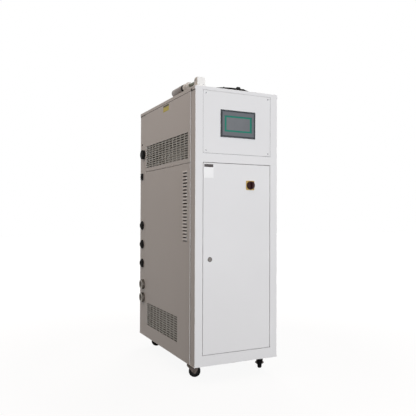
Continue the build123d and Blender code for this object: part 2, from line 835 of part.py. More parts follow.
# Signal light: a fork on the roof and a light that folds down towards the rear
light_side_in = 45.0
light_front_in = 8.0
light_base_width = 52.0
light_base_depth = 54.0
light_cheek = 15.0
light_floor = 16.0
light_pivot_in = 32.0
light_pivot_up = 40.0
light_knuckle = 15.0
light_knuckle_clear = 2.0
light_pin = 4.0
light_pole = 10.0
light_neck = 132.0
light_collar = 24.0
light_collar_long = 75.0
light_collar_slope = 12.0
light_collar_edge = 18.0
light_ring = 25.5
light_ring_long = 25.0
light_radius = 27.0
light_lamp_long = 163.0
light_lamp_edge = 6.0
light_x = left + light_side_in
light_base_front = front + light_front_in
light_pivot_y = light_base_front + light_pivot_in
light_pivot_z = body_top + light_pivot_up
light_slot = light_base_width - 2 * light_cheek
light_pole_end = light_pivot_y + light_neck
light_collar_end = light_pole_end + light_collar_long
light_ring_end = light_collar_end + light_ring_long
light_end = light_ring_end + light_lamp_long
light_side = Plane(origin=(light_x, 0, 0), x_dir=(0, 1, 0), z_dir=(1, 0, 0))

with BuildPart() as signal_light_base:
    with BuildSketch(light_side):
        flat(light_base_front, body_top, light_base_front + light_base_depth, body_top + light_floor)
        flat(light_base_front, body_top, light_pivot_y, light_pivot_z + light_knuckle)
        with Locations((light_pivot_y, light_pivot_z)):
            Circle(light_knuckle)
        flat(light_pivot_y, body_top, light_pivot_y + light_knuckle, light_pivot_z)
    extrude(amount=light_base_width / 2, both=True)
    with BuildSketch(light_side):
        flat(light_pivot_y - light_knuckle - light_knuckle_clear, body_top + light_floor,
             light_base_front + light_base_depth, light_pivot_z + light_knuckle)
    extrude(amount=light_slot / 2, both=True, mode=Mode.SUBTRACT)
    with BuildSketch(light_side):
        with Locations((light_pivot_y, light_pivot_z)):
            Circle(light_pin)
    extrude(amount=light_base_width / 2, both=True)
save(signal_light_base, "signal_light_base")

with BuildPart() as signal_light_pole:
    with BuildSketch(light_side):
        with Locations((light_pivot_y, light_pivot_z)):
            Circle(light_knuckle - light_knuckle_clear / 2)
    extrude(amount=light_slot / 2 - seam, both=True)
    with BuildSketch(Plane(origin=(light_x, 0, light_pivot_z), x_dir=(1, 0, 0), z_dir=(0, 0, 1))):
        with BuildLine():
            Polyline((0, light_pivot_y), (light_pole, light_pivot_y), (light_pole, light_pole_end),
                     (light_collar_edge, light_pole_end), (light_collar, light_pole_end + light_collar_slope),
                     (light_collar, light_collar_end), (0, light_collar_end), close=True)
        make_face()
    revolve(axis=Axis((light_x, 0, light_pivot_z), (0, 1, 0)))
    with BuildSketch(light_side):
        with Locations((light_pivot_y, light_pivot_z)):
            Circle(light_pin + running)
    extrude(amount=light_slot, both=True, mode=Mode.SUBTRACT)
save(signal_light_pole, "signal_light_pole")

with BuildPart() as signal_light_gasket:
    with BuildSketch(Plane.XZ.offset(-light_collar_end)):
        with Locations((light_x, light_pivot_z)):
            Circle(light_ring)
    extrude(amount=-(light_ring_end - light_collar_end))
save(signal_light_gasket, "signal_light_gasket")

with BuildPart() as signal_light_lamp:
    with BuildSketch(Plane.XZ.offset(-light_ring_end)):
        with Locations((light_x, light_pivot_z)):
            Circle(light_radius)
    extrude(amount=-(light_end - light_ring_end))
    fillet(signal_light_lamp.faces().sort_by(Axis.Y)[-1].edges(), light_lamp_edge)
save(signal_light_lamp, "signal_light_lamp")

# Rear strip on the left: fluid ports, cable glands, a socket and the filling cap
strip_rear_in = 80.0
port_ring = 37.0
port_edge = 3.0
port_bore = 25.0
port_stub = 30.0
port_stub_length = 45.0
port_bore_depth = 60.0
supply_up = 392.0
return_up = 291.0
gland_rear_in = 55.0
gland_radius = 33.0
gland_body = 22.0
gland_bore = 11.0
gland_proud = 8.0
gland_first = 554.0
gland_pitch = 147.0
gland_count = 3
cap_disc = 35.0
cap_proud = 21.0
cap_edge = 3.0
cap_skirt = 4.0
cap_neck = 24.0
cap_grip = 3.0
cap_grip_count = 16
cap_up = 1400.0
socket_rear_in = 45.0
socket_down = 31.0
socket_width = 42.0
socket_height = 50.0
socket_proud = 9.0
socket_edge = 2.0
strip_y = rear - strip_rear_in
gland_y = rear - gland_rear_in
socket_y = rear - socket_rear_in
supply_z = body_bottom + supply_up
return_z = body_bottom + return_up
cap_z = body_bottom + cap_up
socket_z = panel_seam - socket_down


def side_disc(y, z, x, radius, amount, mode=Mode.ADD):
    """A cylinder along X in the left wall; a positive amount runs inwards from x."""
    with BuildSketch(Plane.YZ.offset(x)) as disc:
        with Locations((y, z)):
            Circle(radius)
    extrude(disc.sketch, amount=amount, mode=mode)


gland_places = [body_bottom + gland_first + count * gland_pitch for count in range(gland_count)]

with BuildPart() as rear_left_post:
    add(rear_post.part)
    for z in (supply_z, return_z):
        side_disc(strip_y, z, post_face, port_stub + touch_gap, sheet, mode=Mode.SUBTRACT)
    for z in gland_places:
        side_disc(gland_y, z, post_face, gland_body + touch_gap, sheet, mode=Mode.SUBTRACT)
    side_disc(strip_y, cap_z, post_face, cap_neck + touch_gap, sheet, mode=Mode.SUBTRACT)
save(rear_left_post, "rear_left_post")


def fluid_port(z):
    """A threaded socket: a ring on the wall, a stub through it and a blind bore."""
    with BuildPart() as port:
        side_disc(strip_y, z, post_face, port_ring, left - port_reach - post_face)
        chamfer(port.faces().sort_by(Axis.X)[0].edges(), port_edge)
        side_disc(strip_y, z, post_face, port_stub, port_stub_length)
        side_disc(strip_y, z, left - port_reach, port_bore, port_bore_depth, mode=Mode.SUBTRACT)
    return port


save(fluid_port(supply_z), "supply_port")
save(fluid_port(return_z), "return_port")

with BuildPart() as cable_glands:
    for z in gland_places:
        side_disc(gland_y, z, post_face, gland_radius, -gland_proud)
        side_disc(gland_y, z, post_face, gland_body, fold)
        side_disc(gland_y, z, post_face - gland_proud, gland_bore, gland_proud + fold, mode=Mode.SUBTRACT)
save(cable_glands, "cable_glands")

with BuildPart() as filling_cap:
    side_disc(strip_y, cap_z, post_face, cap_disc, -cap_proud)
    chamfer(filling_cap.faces().sort_by(Axis.X)[0].edges(), cap_edge)
    with BuildSketch(Plane.YZ.offset(post_face - cap_skirt)):
        with Locations((strip_y, cap_z)):
            with PolarLocations(cap_disc, cap_grip_count):
                Circle(cap_grip)
    extrude(amount=-cap_proud, mode=Mode.SUBTRACT)
    side_disc(strip_y, cap_z, post_face, cap_neck, fold)
save(filling_cap, "filling_cap")

with BuildPart() as signal_socket:
    with BuildSketch(Plane.YZ.offset(post_face)):
        with Locations((socket_y, socket_z)):
            Rectangle(socket_width, socket_height)
    extrude(amount=-socket_proud)
    chamfer(signal_socket.faces().sort_by(Axis.X)[0].edges(), socket_edge)
save(signal_socket, "signal_socket")

# Inside: a wall behind the door, a tank on its stand, and the coils behind the lower grilles
wall_in = 250.0
wall_sheet = 3.0
wall_edge = fold + seam
wall_y = front + wall_in
coil_in = 40.0
coil_thick = 40.0
coil_height = 260.0
coil_low = base_top + channel_height
stand_down = 260.0
stand_leg = 30.0
stand_thick = 3.0
tank_side_clear = 20.0
tank_front_in = 400.0
tank_rear_in = 220.0
tank_height = 420.0
tank_radius = 30.0
stand_top = panel_seam - stand_down
tank_left = left + coil_in + coil_thick + tank_side_clear
tank_right = right - coil_in - coil_thick - tank_side_clear
tank_front = front + tank_front_in
tank_rear = rear - tank_rear_in

with BuildPart() as compartment_wall:
    bar(left + wall_edge, wall_y, base_top, right - wall_edge, wall_y + fold, mid_rail_top)
    bar(left + wall_edge + wall_sheet, wall_y + wall_sheet, base_top + wall_sheet,
        right - wall_edge - wall_sheet, wall_y + fold, mid_rail_top - wall_sheet, mode=Mode.SUBTRACT)
save(compartment_wall, "compartment_wall")

with BuildPart() as tank_stand:
    bar(tank_left, tank_front, stand_top - stand_thick, tank_right, tank_rear, stand_top)
    for x in (tank_left, tank_right - stand_leg):
        for y in (tank_front, tank_rear - stand_leg):
            bar(x, y, base_top, x + stand_leg, y + stand_leg, stand_top - stand_thick)
save(tank_stand, "tank_stand")

with BuildPart() as water_tank:
    bar(tank_left, tank_front, stand_top, tank_right, tank_rear, stand_top + tank_height)
    fillet(water_tank.edges().filter_by(Axis.Z), tank_radius)
save(water_tank, "water_tank")

with BuildPart() as condenser_coils:
    for x in (left + coil_in, right - coil_in - coil_thick):
        bar(x, lower_window[0] - grille_overlap, coil_low, x + coil_thick, lower_window[2] + grille_overlap,
            coil_low + coil_height)
save(condenser_coils, "condenser_coils")
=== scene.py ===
import json
import math

import bmesh
import bpy
from mathutils import Matrix, Vector


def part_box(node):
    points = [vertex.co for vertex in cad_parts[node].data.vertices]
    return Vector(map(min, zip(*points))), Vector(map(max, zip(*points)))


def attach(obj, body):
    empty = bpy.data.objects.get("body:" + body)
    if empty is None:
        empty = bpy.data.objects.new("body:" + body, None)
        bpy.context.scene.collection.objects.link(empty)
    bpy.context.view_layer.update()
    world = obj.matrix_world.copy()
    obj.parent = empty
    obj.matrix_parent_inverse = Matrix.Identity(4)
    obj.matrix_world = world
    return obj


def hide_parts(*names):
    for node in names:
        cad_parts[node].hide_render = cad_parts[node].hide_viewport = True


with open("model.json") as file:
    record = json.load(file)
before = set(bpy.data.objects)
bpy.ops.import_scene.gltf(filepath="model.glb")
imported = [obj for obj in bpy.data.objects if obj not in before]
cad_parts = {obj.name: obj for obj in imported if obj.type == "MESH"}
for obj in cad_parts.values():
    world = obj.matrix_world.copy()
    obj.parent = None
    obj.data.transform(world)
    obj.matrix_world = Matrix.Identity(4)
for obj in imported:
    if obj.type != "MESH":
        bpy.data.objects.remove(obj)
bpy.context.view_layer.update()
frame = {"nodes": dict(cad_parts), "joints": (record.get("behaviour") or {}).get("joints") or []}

# Camera: at chest height, to the left of the cabinet, turned 26 degrees to the right.
# Its place is given from the middle of the front face, at the bottom of the cabinet.
roof_low, roof_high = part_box("roof_cap")
cabinet_left = roof_low.x
cabinet_right = roof_high.x
cabinet_front = roof_low.y
cabinet_middle = (cabinet_left + cabinet_right) / 2
body_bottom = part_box("base_frame")[0].z
camera_from_cabinet = Vector((-1.5952, -2.8470, 0.9385))
camera_turn = math.radians(25.96)
camera_up = math.radians(0.68)
camera_roll = math.radians(0.2)
camera_focal_mm = 44.30
film_wide_mm = 36.0
view_end = 60.0

scene = bpy.context.scene
camera_data = bpy.data.cameras.new("camera")
camera_data.lens = camera_focal_mm
camera_data.sensor_width = film_wide_mm
camera_data.clip_end = view_end
camera = bpy.data.objects.new("camera", camera_data)
scene.collection.objects.link(camera)
camera.matrix_world = (
    Matrix.Translation(Vector((cabinet_middle, cabinet_front, body_bottom)) + camera_from_cabinet)
    @ Matrix.Rotation(-camera_turn, 4, "Z")
    @ Matrix.Rotation(math.pi / 2 + camera_up, 4, "X")
    @ Matrix.Rotation(camera_roll, 4, "Z")
)
scene.camera = camera


# Studio: a floor that fades into a white room, and three soft lamps: a large one in front lights the
# door side, one behind on the right the back, and a weak one hangs over the left side. The floor is grey
# and throws little light up. A glow that the camera and reflections alone see turns it white.
def linear(hex_colour):
    """A colour written as sRGB hex, as the four linear values that a shader takes."""
    parts = [int(hex_colour[i:i + 2], 16) / 255 for i in (0, 2, 4)]
    return [c / 12.92 if c <= 0.04045 else ((c + 0.055) / 1.055) ** 2.4 for c in parts] + [1.0]


def add_node(tree, kind, settings=None, links=None, feeds=None):
    """Adds a shader node with properties or socket values, with what feeds it and what it feeds."""
    node = tree.nodes.new("ShaderNode" + kind)
    for name, value in (settings or {}).items():
        if isinstance(name, int) or name in node.inputs:
            node.inputs[name].default_value = value
        else:
            setattr(node, name, value)
    for name, source in (links or {}).items():
        tree.links.new(source, node.inputs[name])
    if feeds:
        tree.links.new(next(socket for socket in node.outputs if socket.enabled), feeds)
    return node


def new_material(name, colour, roughness, metallic=0.0, **sockets):
    """A material with one Principled shader: returns the material, its tree and the shader."""
    material = bpy.data.materials.new(name)
    material.use_nodes = True
    tree = material.node_tree
    shader = tree.nodes["Principled BSDF"]
    shader.inputs["Base Color"].default_value = linear(colour)
    shader.inputs["Roughness"].default_value = roughness
    shader.inputs["Metallic"].default_value = metallic
    for socket, value in sockets.items():
        shader.inputs[socket.replace("_", " ")].default_value = value
    return material, tree, shader


def new_object(name, mesh_builder, materials, body="cabinet", crease=35, replaces=None):
    """An object from a bmesh, smooth up to a crease, its body and the node it stands for."""
    bmesh.ops.recalc_face_normals(mesh_builder, faces=mesh_builder.faces)
    mesh = bpy.data.meshes.new(name)
    mesh_builder.to_mesh(mesh)
    mesh_builder.free()
    mesh.shade_smooth()
    mesh.set_sharp_from_angle(angle=math.radians(crease))
    piece = bpy.data.objects.new(name, mesh)
    scene.collection.objects.link(piece)
    for material in materials:
        mesh.materials.append(material)
    if body:
        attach(piece, body)
    if replaces:
        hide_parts(replaces)
    return piece


floor_colour = "4c4a48"
floor_size = 40.0
glow_near = 0.92
glow_near_to = 1.2
glow_full_from = 3.5
room_glow_level = 0.06
room_glow_above = 0.47
room_tint = "ffe9d9"
key_strength = 310.0
key_width = 3.2
key_height = 2.0
key_place = Vector((0.2, -6.5, 1.9))
key_colour = "f6f9ff"
back_strength = 240.0
back_size = 2.6
back_place = Vector((2.8, 4.6, 4.0))
side_strength = 20.0
side_size = 1.8
side_place = Vector((-2.5, -0.2, 3.5))
side_colour = "ffece0"
lamp_target = Vector((0.0, 0.0, 1.0))

floor_mesh = bmesh.new()
bmesh.ops.create_grid(floor_mesh, x_segments=1, y_segments=1, size=floor_size / 2)
floor_paint, tree, shader = new_material("studio_floor", floor_colour, 0.9, Specular_IOR_Level=0.0)
place = add_node(tree, "TexCoord")
away = add_node(tree, "VectorMath", {"operation": "LENGTH"}, {0: place.outputs["Object"]})
fade = add_node(tree, "MapRange",
                {"From Min": glow_near_to, "From Max": glow_full_from, "To Min": glow_near, "To Max": 1.0},
                {"Value": away.outputs["Value"]})
ray = add_node(tree, "LightPath")
seen = add_node(tree, "Math", {"operation": "MAXIMUM"},
                {0: ray.outputs["Is Camera Ray"], 1: ray.outputs["Is Glossy Ray"]})
glow = add_node(tree, "Math", {"operation": "MULTIPLY"},
                {0: fade.outputs["Result"], 1: seen.outputs[0]})
shine = add_node(tree, "Emission", {}, {"Strength": glow.outputs[0]})
add_node(tree, "AddShader", {}, {0: shader.outputs[0], 1: shine.outputs[0]},
         tree.nodes["Material Output"].inputs["Surface"])
floor = new_object("studio_floor", floor_mesh, [floor_paint], body=None)

# The room glows warm and softly, strongest from overhead. The camera, gloss and glass see it white.
world = bpy.data.worlds.new("studio_room")
scene.world = world
world.use_nodes = True
tree = world.node_tree
ray = add_node(tree, "LightPath")
seen = add_node(tree, "Math", {"operation": "MAXIMUM"},
                {0: ray.outputs["Is Camera Ray"], 1: ray.outputs["Is Glossy Ray"]})
seen = add_node(tree, "Math", {"operation": "MAXIMUM"},
                {0: seen.outputs[0], 1: ray.outputs["Is Transmission Ray"]})
way = add_node(tree, "TexCoord")
upward = add_node(tree, "SeparateXYZ", {}, {0: way.outputs["Generated"]})
low_glow, high_glow = ([strength * channel for channel in linear(room_tint)[:3]] + [1.0]
                       for strength in (room_glow_level, room_glow_above))
warm = add_node(tree, "Mix", {"data_type": "RGBA", 6: low_glow, 7: high_glow},
                {0: upward.outputs["Z"]})
add_node(tree, "Mix", {"data_type": "RGBA", 7: (1, 1, 1, 1)}, {0: seen.outputs[0], 6: warm.outputs[2]},
         tree.nodes["Background"].inputs["Color"])


def soft_lamp(name, place, width, height, strength, colour):
    """A soft lamp box that points at the middle of the cabinet."""
    lamp_data = bpy.data.lights.new(name, "AREA")
    lamp_data.shape = "RECTANGLE"
    lamp_data.size = width
    lamp_data.size_y = height
    lamp_data.energy = strength
    lamp_data.color = linear(colour)[:3]
    lamp = bpy.data.objects.new(name, lamp_data)
    scene.collection.objects.link(lamp)
    lamp.location = place
    lamp.rotation_euler = (lamp_target - place).to_track_quat("-Z", "Y").to_euler()


soft_lamp("key_lamp", key_place, key_width, key_height, key_strength, key_colour)
soft_lamp("back_lamp", back_place, back_size, back_size, back_strength, key_colour)
soft_lamp("side_lamp", side_place, side_size, side_size, side_strength, side_colour)
scene.view_settings.view_transform = "Standard"

# Cabinet: folded sheet steel with a fine textured powder coat in a warm grey white.
# The coat spreads light evenly. Its orange peel is about 1 mm, drawn at 3 mm so that it shows.
MM = 0.001
coat_cloud_mm = 400.0
coat_peel_mm = 3.0
coat_peel_high_mm = 0.2


def noise(tree, place, spacing_mm, detail):
    """Soft random patches that stand about this far apart."""
    return add_node(tree, "TexNoise", {"Scale": 1 / (spacing_mm * MM), "Detail": detail},
                    {"Vector": place.outputs["Object"]})


def blend(tree, texture, first, second, feeds=None):
    """Mixes two colours by a texture."""
    return add_node(tree, "Mix", {"data_type": "RGBA", 6: first, 7: second}, {0: texture.outputs["Fac"]},
                    feeds)


def relief(tree, texture, strength, high, shader):
    """Makes a texture show as relief on the surface."""
    add_node(tree, "Bump", {"Strength": strength, "Distance": high}, {"Height": texture.outputs["Fac"]},
             shader.inputs["Normal"])


def grained_finish(name, colour, deep, roughness, cloud_mm, grain_mm, grain_high_mm, strength, **sockets):
    """An even colour with faint clouds of a deeper one, given as linear values, and a fine raised grain."""
    material, tree, shader = new_material(name, colour, roughness, **sockets)
    place = add_node(tree, "TexCoord")
    blend(tree, noise(tree, place, cloud_mm, 3.0), deep, linear(colour), shader.inputs["Base Color"])
    relief(tree, noise(tree, place, grain_mm, 2.0), strength, grain_high_mm * MM, shader)
    return material


def powder_paint(name, colour, shade):
    """Baked powder coat: an even colour with faint clouds of a second shade, and an orange peel."""
    return grained_finish(name, colour, linear(shade), 0.5, coat_cloud_mm, coat_peel_mm, coat_peel_high_mm,
                          0.25, Specular_IOR_Level=0.25)


def finish(material, *names):
    """Gives CAD nodes their material."""
    for name in names:
        node = frame["nodes"][name]
        node.data.materials.clear()
        node.data.materials.append(material)


powder_coat = powder_paint("grey_white_powder_coat", "e8e8e7", "e2e2e1")
finish(powder_coat, "base_frame", "front_left_post", "front_right_post", "rear_left_post", "rear_right_post",
       "front_rails", "left_upper_panel", "right_upper_panel", "rear_panels", "control_panel", "roof_cap")

# Lower side panels: each louvre is lanced and pressed out of the sheet, so its hood stands over a slot
# that goes through the wall and on below the hood. The slots show dark between the lit hoods.
louvre_count = 21
louvre_pitch = 21.6 * MM
louvre_length = 70.0 * MM
louvre_front_in = 48.0 * MM
louvre_top_down = 33.9 * MM
lance_length = 62.0 * MM
lance_down = 7.5 * MM
lance_up = 5.0 * MM
wall_thick = 2.0 * MM
cut_over = 0.2 * MM
weld_within = 0.001 * MM


def block(mesh, low, high):
    """Adds a plain block between two corners."""
    corners = [mesh.verts.new((x, y, z)) for x in (low[0], high[0]) for y in (low[1], high[1])
               for z in (low[2], high[2])]
    for face in ((0, 1, 3, 2), (4, 6, 7, 5), (0, 4, 5, 1), (2, 3, 7, 6), (0, 2, 6, 4), (1, 5, 7, 3)):
        mesh.faces.new([corners[k] for k in face])


def lanced_panel(node, wall):
    """The panel with a slot cut through its wall under each hood. The wall's outside is at x = wall."""
    low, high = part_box(node)
    mesh = bmesh.new()
    mesh.from_mesh(frame["nodes"][node].data)
    bmesh.ops.remove_doubles(mesh, verts=mesh.verts, dist=weld_within)
    panel = new_object(f"{node}_lanced", mesh, [powder_coat], crease=30,
                       replaces=node)
    inward = 1 if wall < cabinet_middle else -1
    near, far = sorted((wall - inward * cut_over, wall + inward * (wall_thick + cut_over)))
    y = low.y + louvre_front_in + louvre_length / 2
    first = high.z - louvre_top_down - louvre_count * louvre_pitch
    mesh = bmesh.new()
    for count in range(louvre_count):
        z = first + count * louvre_pitch
        block(mesh, (near, y - lance_length / 2, z - lance_down), (far, y + lance_length / 2, z + lance_up))
    cutter = new_object(f"{node}_cutter", mesh, [], body=None)
    cut = panel.modifiers.new("lanced_slots", "BOOLEAN")
    cut.operation = "DIFFERENCE"
    cut.solver = "EXACT"
    cut.object = cutter
    panel.data = bpy.data.meshes.new_from_object(panel.evaluated_get(bpy.context.evaluated_depsgraph_get()))
    panel.modifiers.clear()
    panel.data.shade_flat()
    bpy.data.objects.remove(cutter)


lanced_panel("left_lower_panel", cabinet_left)
lanced_panel("right_lower_panel", cabinet_right)

# Grilles: steel sheets behind the windows of the side panels, punched with straight rows of long slots
# and coated in a darker grey-green. The tint is the sheet's own, and part of the darkness is painted shade
# for the sheet set back behind the window. They show as rows of dark dashes over whatever stands behind them.
grille_sheet = 2.0 * MM
grille_border = 6.0 * MM
slot_long = 55.0 * MM
slot_high = 8.0 * MM
slot_corner = 1.4 * MM
slot_pitch = 65.0 * MM
row_pitch = 15.5 * MM
# A darker copy of the powder coat: its grey-green tint is real, and part of its darkness is painted shade.
grille_coat_and_painted_shade = powder_paint("grey_green_coat_and_painted_shade", "c8cac5", "bdbfba")


def slot_cell(mesh, point, y, z, half_y, half_z):
    """One cell of sheet round a slot: its edge has six points and the slot has eight."""
    a, b, c = slot_long / 2, slot_high / 2, slot_corner
    edge = [(-half_y, -half_z), (0, -half_z), (half_y, -half_z),
            (half_y, half_z), (0, half_z), (-half_y, half_z)]
    slot = [(c - a, -b), (a - c, -b), (a, c - b), (a, b - c),
            (a - c, b), (c - a, b), (-a, b - c), (-a, c - b)]
    e = [point(y + dy, z + dz) for dy, dz in edge]
    s = [point(y + dy, z + dz) for dy, dz in slot]
    for face in ((e[0], e[1], s[0]), (e[1], s[1], s[0]), (e[1], e[2], s[1]), (e[2], s[2], s[1]),
                 (e[2], e[3], s[3], s[2]), (e[3], s[4], s[3]), (e[3], e[4], s[4]), (e[4], s[5], s[4]),
                 (e[4], e[5], s[5]), (e[5], s[6], s[5]), (e[5], e[0], s[7], s[6]), (e[0], s[0], s[7])):
        mesh.faces.new(face)


def slotted_sheet(node):
    """The punched sheet in the place of a grille's solid."""
    low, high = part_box(node)
    y0, y1 = low.y + grille_border, high.y - grille_border
    z0, z1 = low.z + grille_border, high.z - grille_border
    columns = round((y1 - y0) / slot_pitch)
    rows = round((z1 - z0) / row_pitch)
    half_y = (y1 - y0) / columns / 2
    half_z = (z1 - z0) / rows / 2
    mesh = bmesh.new()
    made = {}

    def point(y, z):
        key = (round(y, 5), round(z, 5))
        if key not in made:
            made[key] = mesh.verts.new((low.x, y, z))
        return made[key]

    def plain(ya, za, yb, zb):
        mesh.faces.new([point(ya, za), point(yb, za), point(yb, zb), point(ya, zb)])

    for row in range(rows):
        z = z0 + (2 * row + 1) * half_z
        for column in range(columns):
            slot_cell(mesh, point, y0 + (2 * column + 1) * half_y, z, half_y, half_z)
        plain(low.y, z - half_z, y0, z + half_z)
        plain(y1, z - half_z, high.y, z + half_z)
    for za, zb in ((low.z, z0), (z1, high.z)):
        for step in range(2 * columns):
            plain(y0 + step * half_y, za, y0 + (step + 1) * half_y, zb)
        plain(low.y, za, y0, zb)
        plain(y1, za, high.y, zb)
    mesh.normal_update()
    bmesh.ops.solidify(mesh, geom=mesh.faces[:], thickness=grille_sheet)
    middle = (low.x + high.x) / 2
    made_middle = (min(v.co.x for v in mesh.verts) + max(v.co.x for v in mesh.verts)) / 2
    bmesh.ops.translate(mesh, verts=mesh.verts, vec=(middle - made_middle, 0, 0))
    new_object(f"{node}_sheet", mesh, [grille_coat_and_painted_shade], crease=30, replaces=node)


for grille in ("left_upper_grille", "left_lower_grille", "right_upper_grille", "right_lower_grille"):
    slotted_sheet(grille)


# Panel screws: stainless pan heads with a round socket, which hold the control panel and the rear
# panels to the frame. They show as small grey dots.
def skin(mesh, loops, closed=False):
    """Joins loops of points with faces, and closes them into a ring or with a face over each end."""
    pairs = list(zip(loops, loops[1:]))
    if closed:
        pairs.append((loops[-1], loops[0]))
    sides = len(loops[0])
    faces = [mesh.faces.new((near[side], near[(side + 1) % sides], far[(side + 1) % sides], far[side]))
             for near, far in pairs for side in range(sides)]
    if not closed:
        faces += [mesh.faces.new(loops[0][::-1]), mesh.faces.new(loops[-1])]
    return faces


def mm(*points):
    """A profile of radius and height that is written in millimetres."""
    return [(radius * MM, height * MM) for radius, height in points]


def turned(mesh, profile, place, axis, sides=32, closed=False, rib=0.0):
    """Adds a turned shape: its profile is radius and height on the axis. A rib sets in every second point."""
    turn = Vector(axis).to_track_quat("Z", "Y").to_matrix()
    rings = []
    for radius, height in profile:
        ring = []
        for step in range(sides):
            angle = math.tau * step / sides
            reach = radius - (rib if step % 2 else 0.0)
            spot = turn @ Vector((reach * math.cos(angle), reach * math.sin(angle), height))
            ring.append(mesh.verts.new(Vector(place) + spot))
        rings.append(ring)
    skin(mesh, rings, closed)


def screw_head(mesh, place, axis, radius, height):
    """Adds a screw's head, rounded at its edge, with a round socket."""
    turned(mesh, [(radius, 0), (radius, 0.35 * height), (0.86 * radius, 0.8 * height), (0.6 * radius, height),
                  (0.42 * radius, height), (0.38 * radius, 0.3 * height)], place, axis, sides=20)


gloss_swing = 0.08


def worked_metal(name, colour, cloud_colour, cloud_mm, roughness, metallic=1.0):
    """Plated, turned or cast metal: soft patches of a second tone, with the gloss changing between them."""
    material, tree, shader = new_material(name, colour, roughness, metallic)
    place = add_node(tree, "TexCoord")
    patches = noise(tree, place, cloud_mm, 4.0)
    blend(tree, patches, linear(colour), linear(cloud_colour), shader.inputs["Base Color"])
    add_node(tree, "MapRange", {"To Min": roughness - gloss_swing, "To Max": roughness + gloss_swing},
             {"Value": patches.outputs["Fac"]}, shader.inputs["Roughness"])
    return material


screw_steel = worked_metal("stainless_screw_steel", "8c8c8c", "767676", 3, 0.4)
panel_screw_radius = 5.0 * MM
panel_screw_height = 2.2 * MM
control_screw_out = 225 * MM
control_screw_rows = (body_bottom + 1333 * MM, body_bottom + 1691 * MM)
cabinet_rear = roof_high.y
rear_low, rear_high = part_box("rear_panels")
rear_screw_in = 14 * MM
rear_screw_count = 6
rear_screw_gap = (rear_high.z - rear_low.z - 2 * rear_screw_in) / (rear_screw_count - 1)

mesh = bmesh.new()
for x in (cabinet_middle - control_screw_out, cabinet_middle + control_screw_out):
    for z in control_screw_rows:
        screw_head(mesh, (x, cabinet_front, z), (0, -1, 0), panel_screw_radius, panel_screw_height)
for x in (rear_low.x + rear_screw_in, rear_high.x - rear_screw_in):
    for step in range(rear_screw_count):
        z = rear_low.z + rear_screw_in + rear_screw_gap * step
        screw_head(mesh, (x, cabinet_rear, z), (0, 1, 0), panel_screw_radius, panel_screw_height / 2)
new_object("panel_screws", mesh, [screw_steel])

# Cap screws: steel screws with tall heads and a black oxide finish, low on the lip of the roof cap, one
# on each side near the front. They fix the cap to the posts and show as black dots.
cap_screw_radius = 5.5 * MM
cap_screw_height = 5.5 * MM
cap_screw_back = 50 * MM
cap_screw_up = 5 * MM
lip_bottom = roof_low.z
black_oxide = worked_metal("black_oxide_steel", "1b1a19", "100f0f", 3, 0.55, metallic=0.3)

mesh = bmesh.new()
for x, side in ((cabinet_left, -1), (cabinet_right, 1)):
    screw_head(mesh, (x, cabinet_front + cap_screw_back, lip_bottom + cap_screw_up), (side, 0, 0),
               cap_screw_radius, cap_screw_height)
new_object("cap_screws", mesh, [black_oxide])

# Control panel shade strip: a strip of black sponge rubber in the gap under the control panel, and a thin one
# along its sides, which paints the shade of these gaps as dark lines. The sponge is matt, with open pores.
flow_mm = 40.0


def moulded_finish(name, colour, roughness, grain_mm, grain_high_mm, specular=0.5, shade=0.88, **sockets):
    """Moulded plastic or rubber: an even colour with slight flow clouds, and the mould's fine grain."""
    deep = [channel * shade for channel in linear(colour)[:3]] + [1.0]
    return grained_finish(name, colour, deep, roughness, flow_mm, grain_mm, grain_high_mm, 0.4,
                          Specular_IOR_Level=specular, **sockets)


sponge_rubber = moulded_finish("black_sponge_rubber", "121212", 0.85, 0.8, 0.25, 0.25)
panel_shade_strip_high = 2.3 * MM
panel_shade_strip_wide = 0.8 * MM
panel_shade_strip_back = 0.2 * MM
panel_shade_strip_deep = 6.0 * MM
panel_low, panel_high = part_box("control_panel")
shade_strip_foot = panel_low.z - panel_shade_strip_wide
shade_strip_front = cabinet_front + panel_shade_strip_back
shade_strip_rear = cabinet_front + panel_shade_strip_deep
mesh = bmesh.new()
block(mesh, (panel_low.x - panel_shade_strip_wide, shade_strip_front, shade_strip_foot),
      (panel_high.x + panel_shade_strip_wide, shade_strip_rear, shade_strip_foot + panel_shade_strip_high))
for x in (panel_low.x - panel_shade_strip_wide, panel_high.x):
    block(mesh, (x, shade_strip_front, shade_strip_foot + panel_shade_strip_high), (x + panel_shade_strip_wide, shade_strip_rear, panel_high.z))
new_object("control_panel_shade_strip", mesh, [sponge_rubber])

# Side seams: the front edge of each side panel is folded back into a rounded hem that catches the light.
# Black sponge strips in the gap beside it and in the one under the lip of the roof cap paint the shade of
# these gaps as dark lines.
hem_radius = 4.0 * MM
hem_proud = 2.4 * MM
hem_in = 1.0 * MM
post_set_back = 3.0 * MM
strip_wide = 2.5 * MM
strip_back = 2.6 * MM
cap_strip_back = 0.8 * MM
cap_strip_high = 3.0 * MM
cap_strip_proud = 0.15 * MM
mesh = bmesh.new()
hems = bmesh.new()
for side, wall, name in ((-1, cabinet_left, "left"), (1, cabinet_right, "right")):
    for level in ("upper", "lower"):
        low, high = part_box(f"{name}_{level}_panel")
        spot = (wall - side * (hem_radius - hem_proud), low.y + hem_radius - hem_in, low.z)
        turned(hems, [(hem_radius, 0), (hem_radius, high.z - low.z)], spot, (0, 0, 1), 20)
    # Black strips of painted shade: in the gap beside the hem, and under the lip of the roof cap.
    outer, inner = sorted((wall - side * strip_back, wall - side * post_set_back))
    block(mesh, (outer, low.y - strip_wide, body_bottom + strip_wide), (inner, low.y - hem_in, lip_bottom))
    outer, inner = sorted((wall + side * cap_strip_proud, wall - side * cap_strip_back))
    block(mesh, (outer, cabinet_front + strip_wide, lip_bottom - cap_strip_high),
          (inner, cabinet_rear - strip_wide, lip_bottom - cap_strip_proud))
new_object("side_panel_hems", hems, [powder_coat])
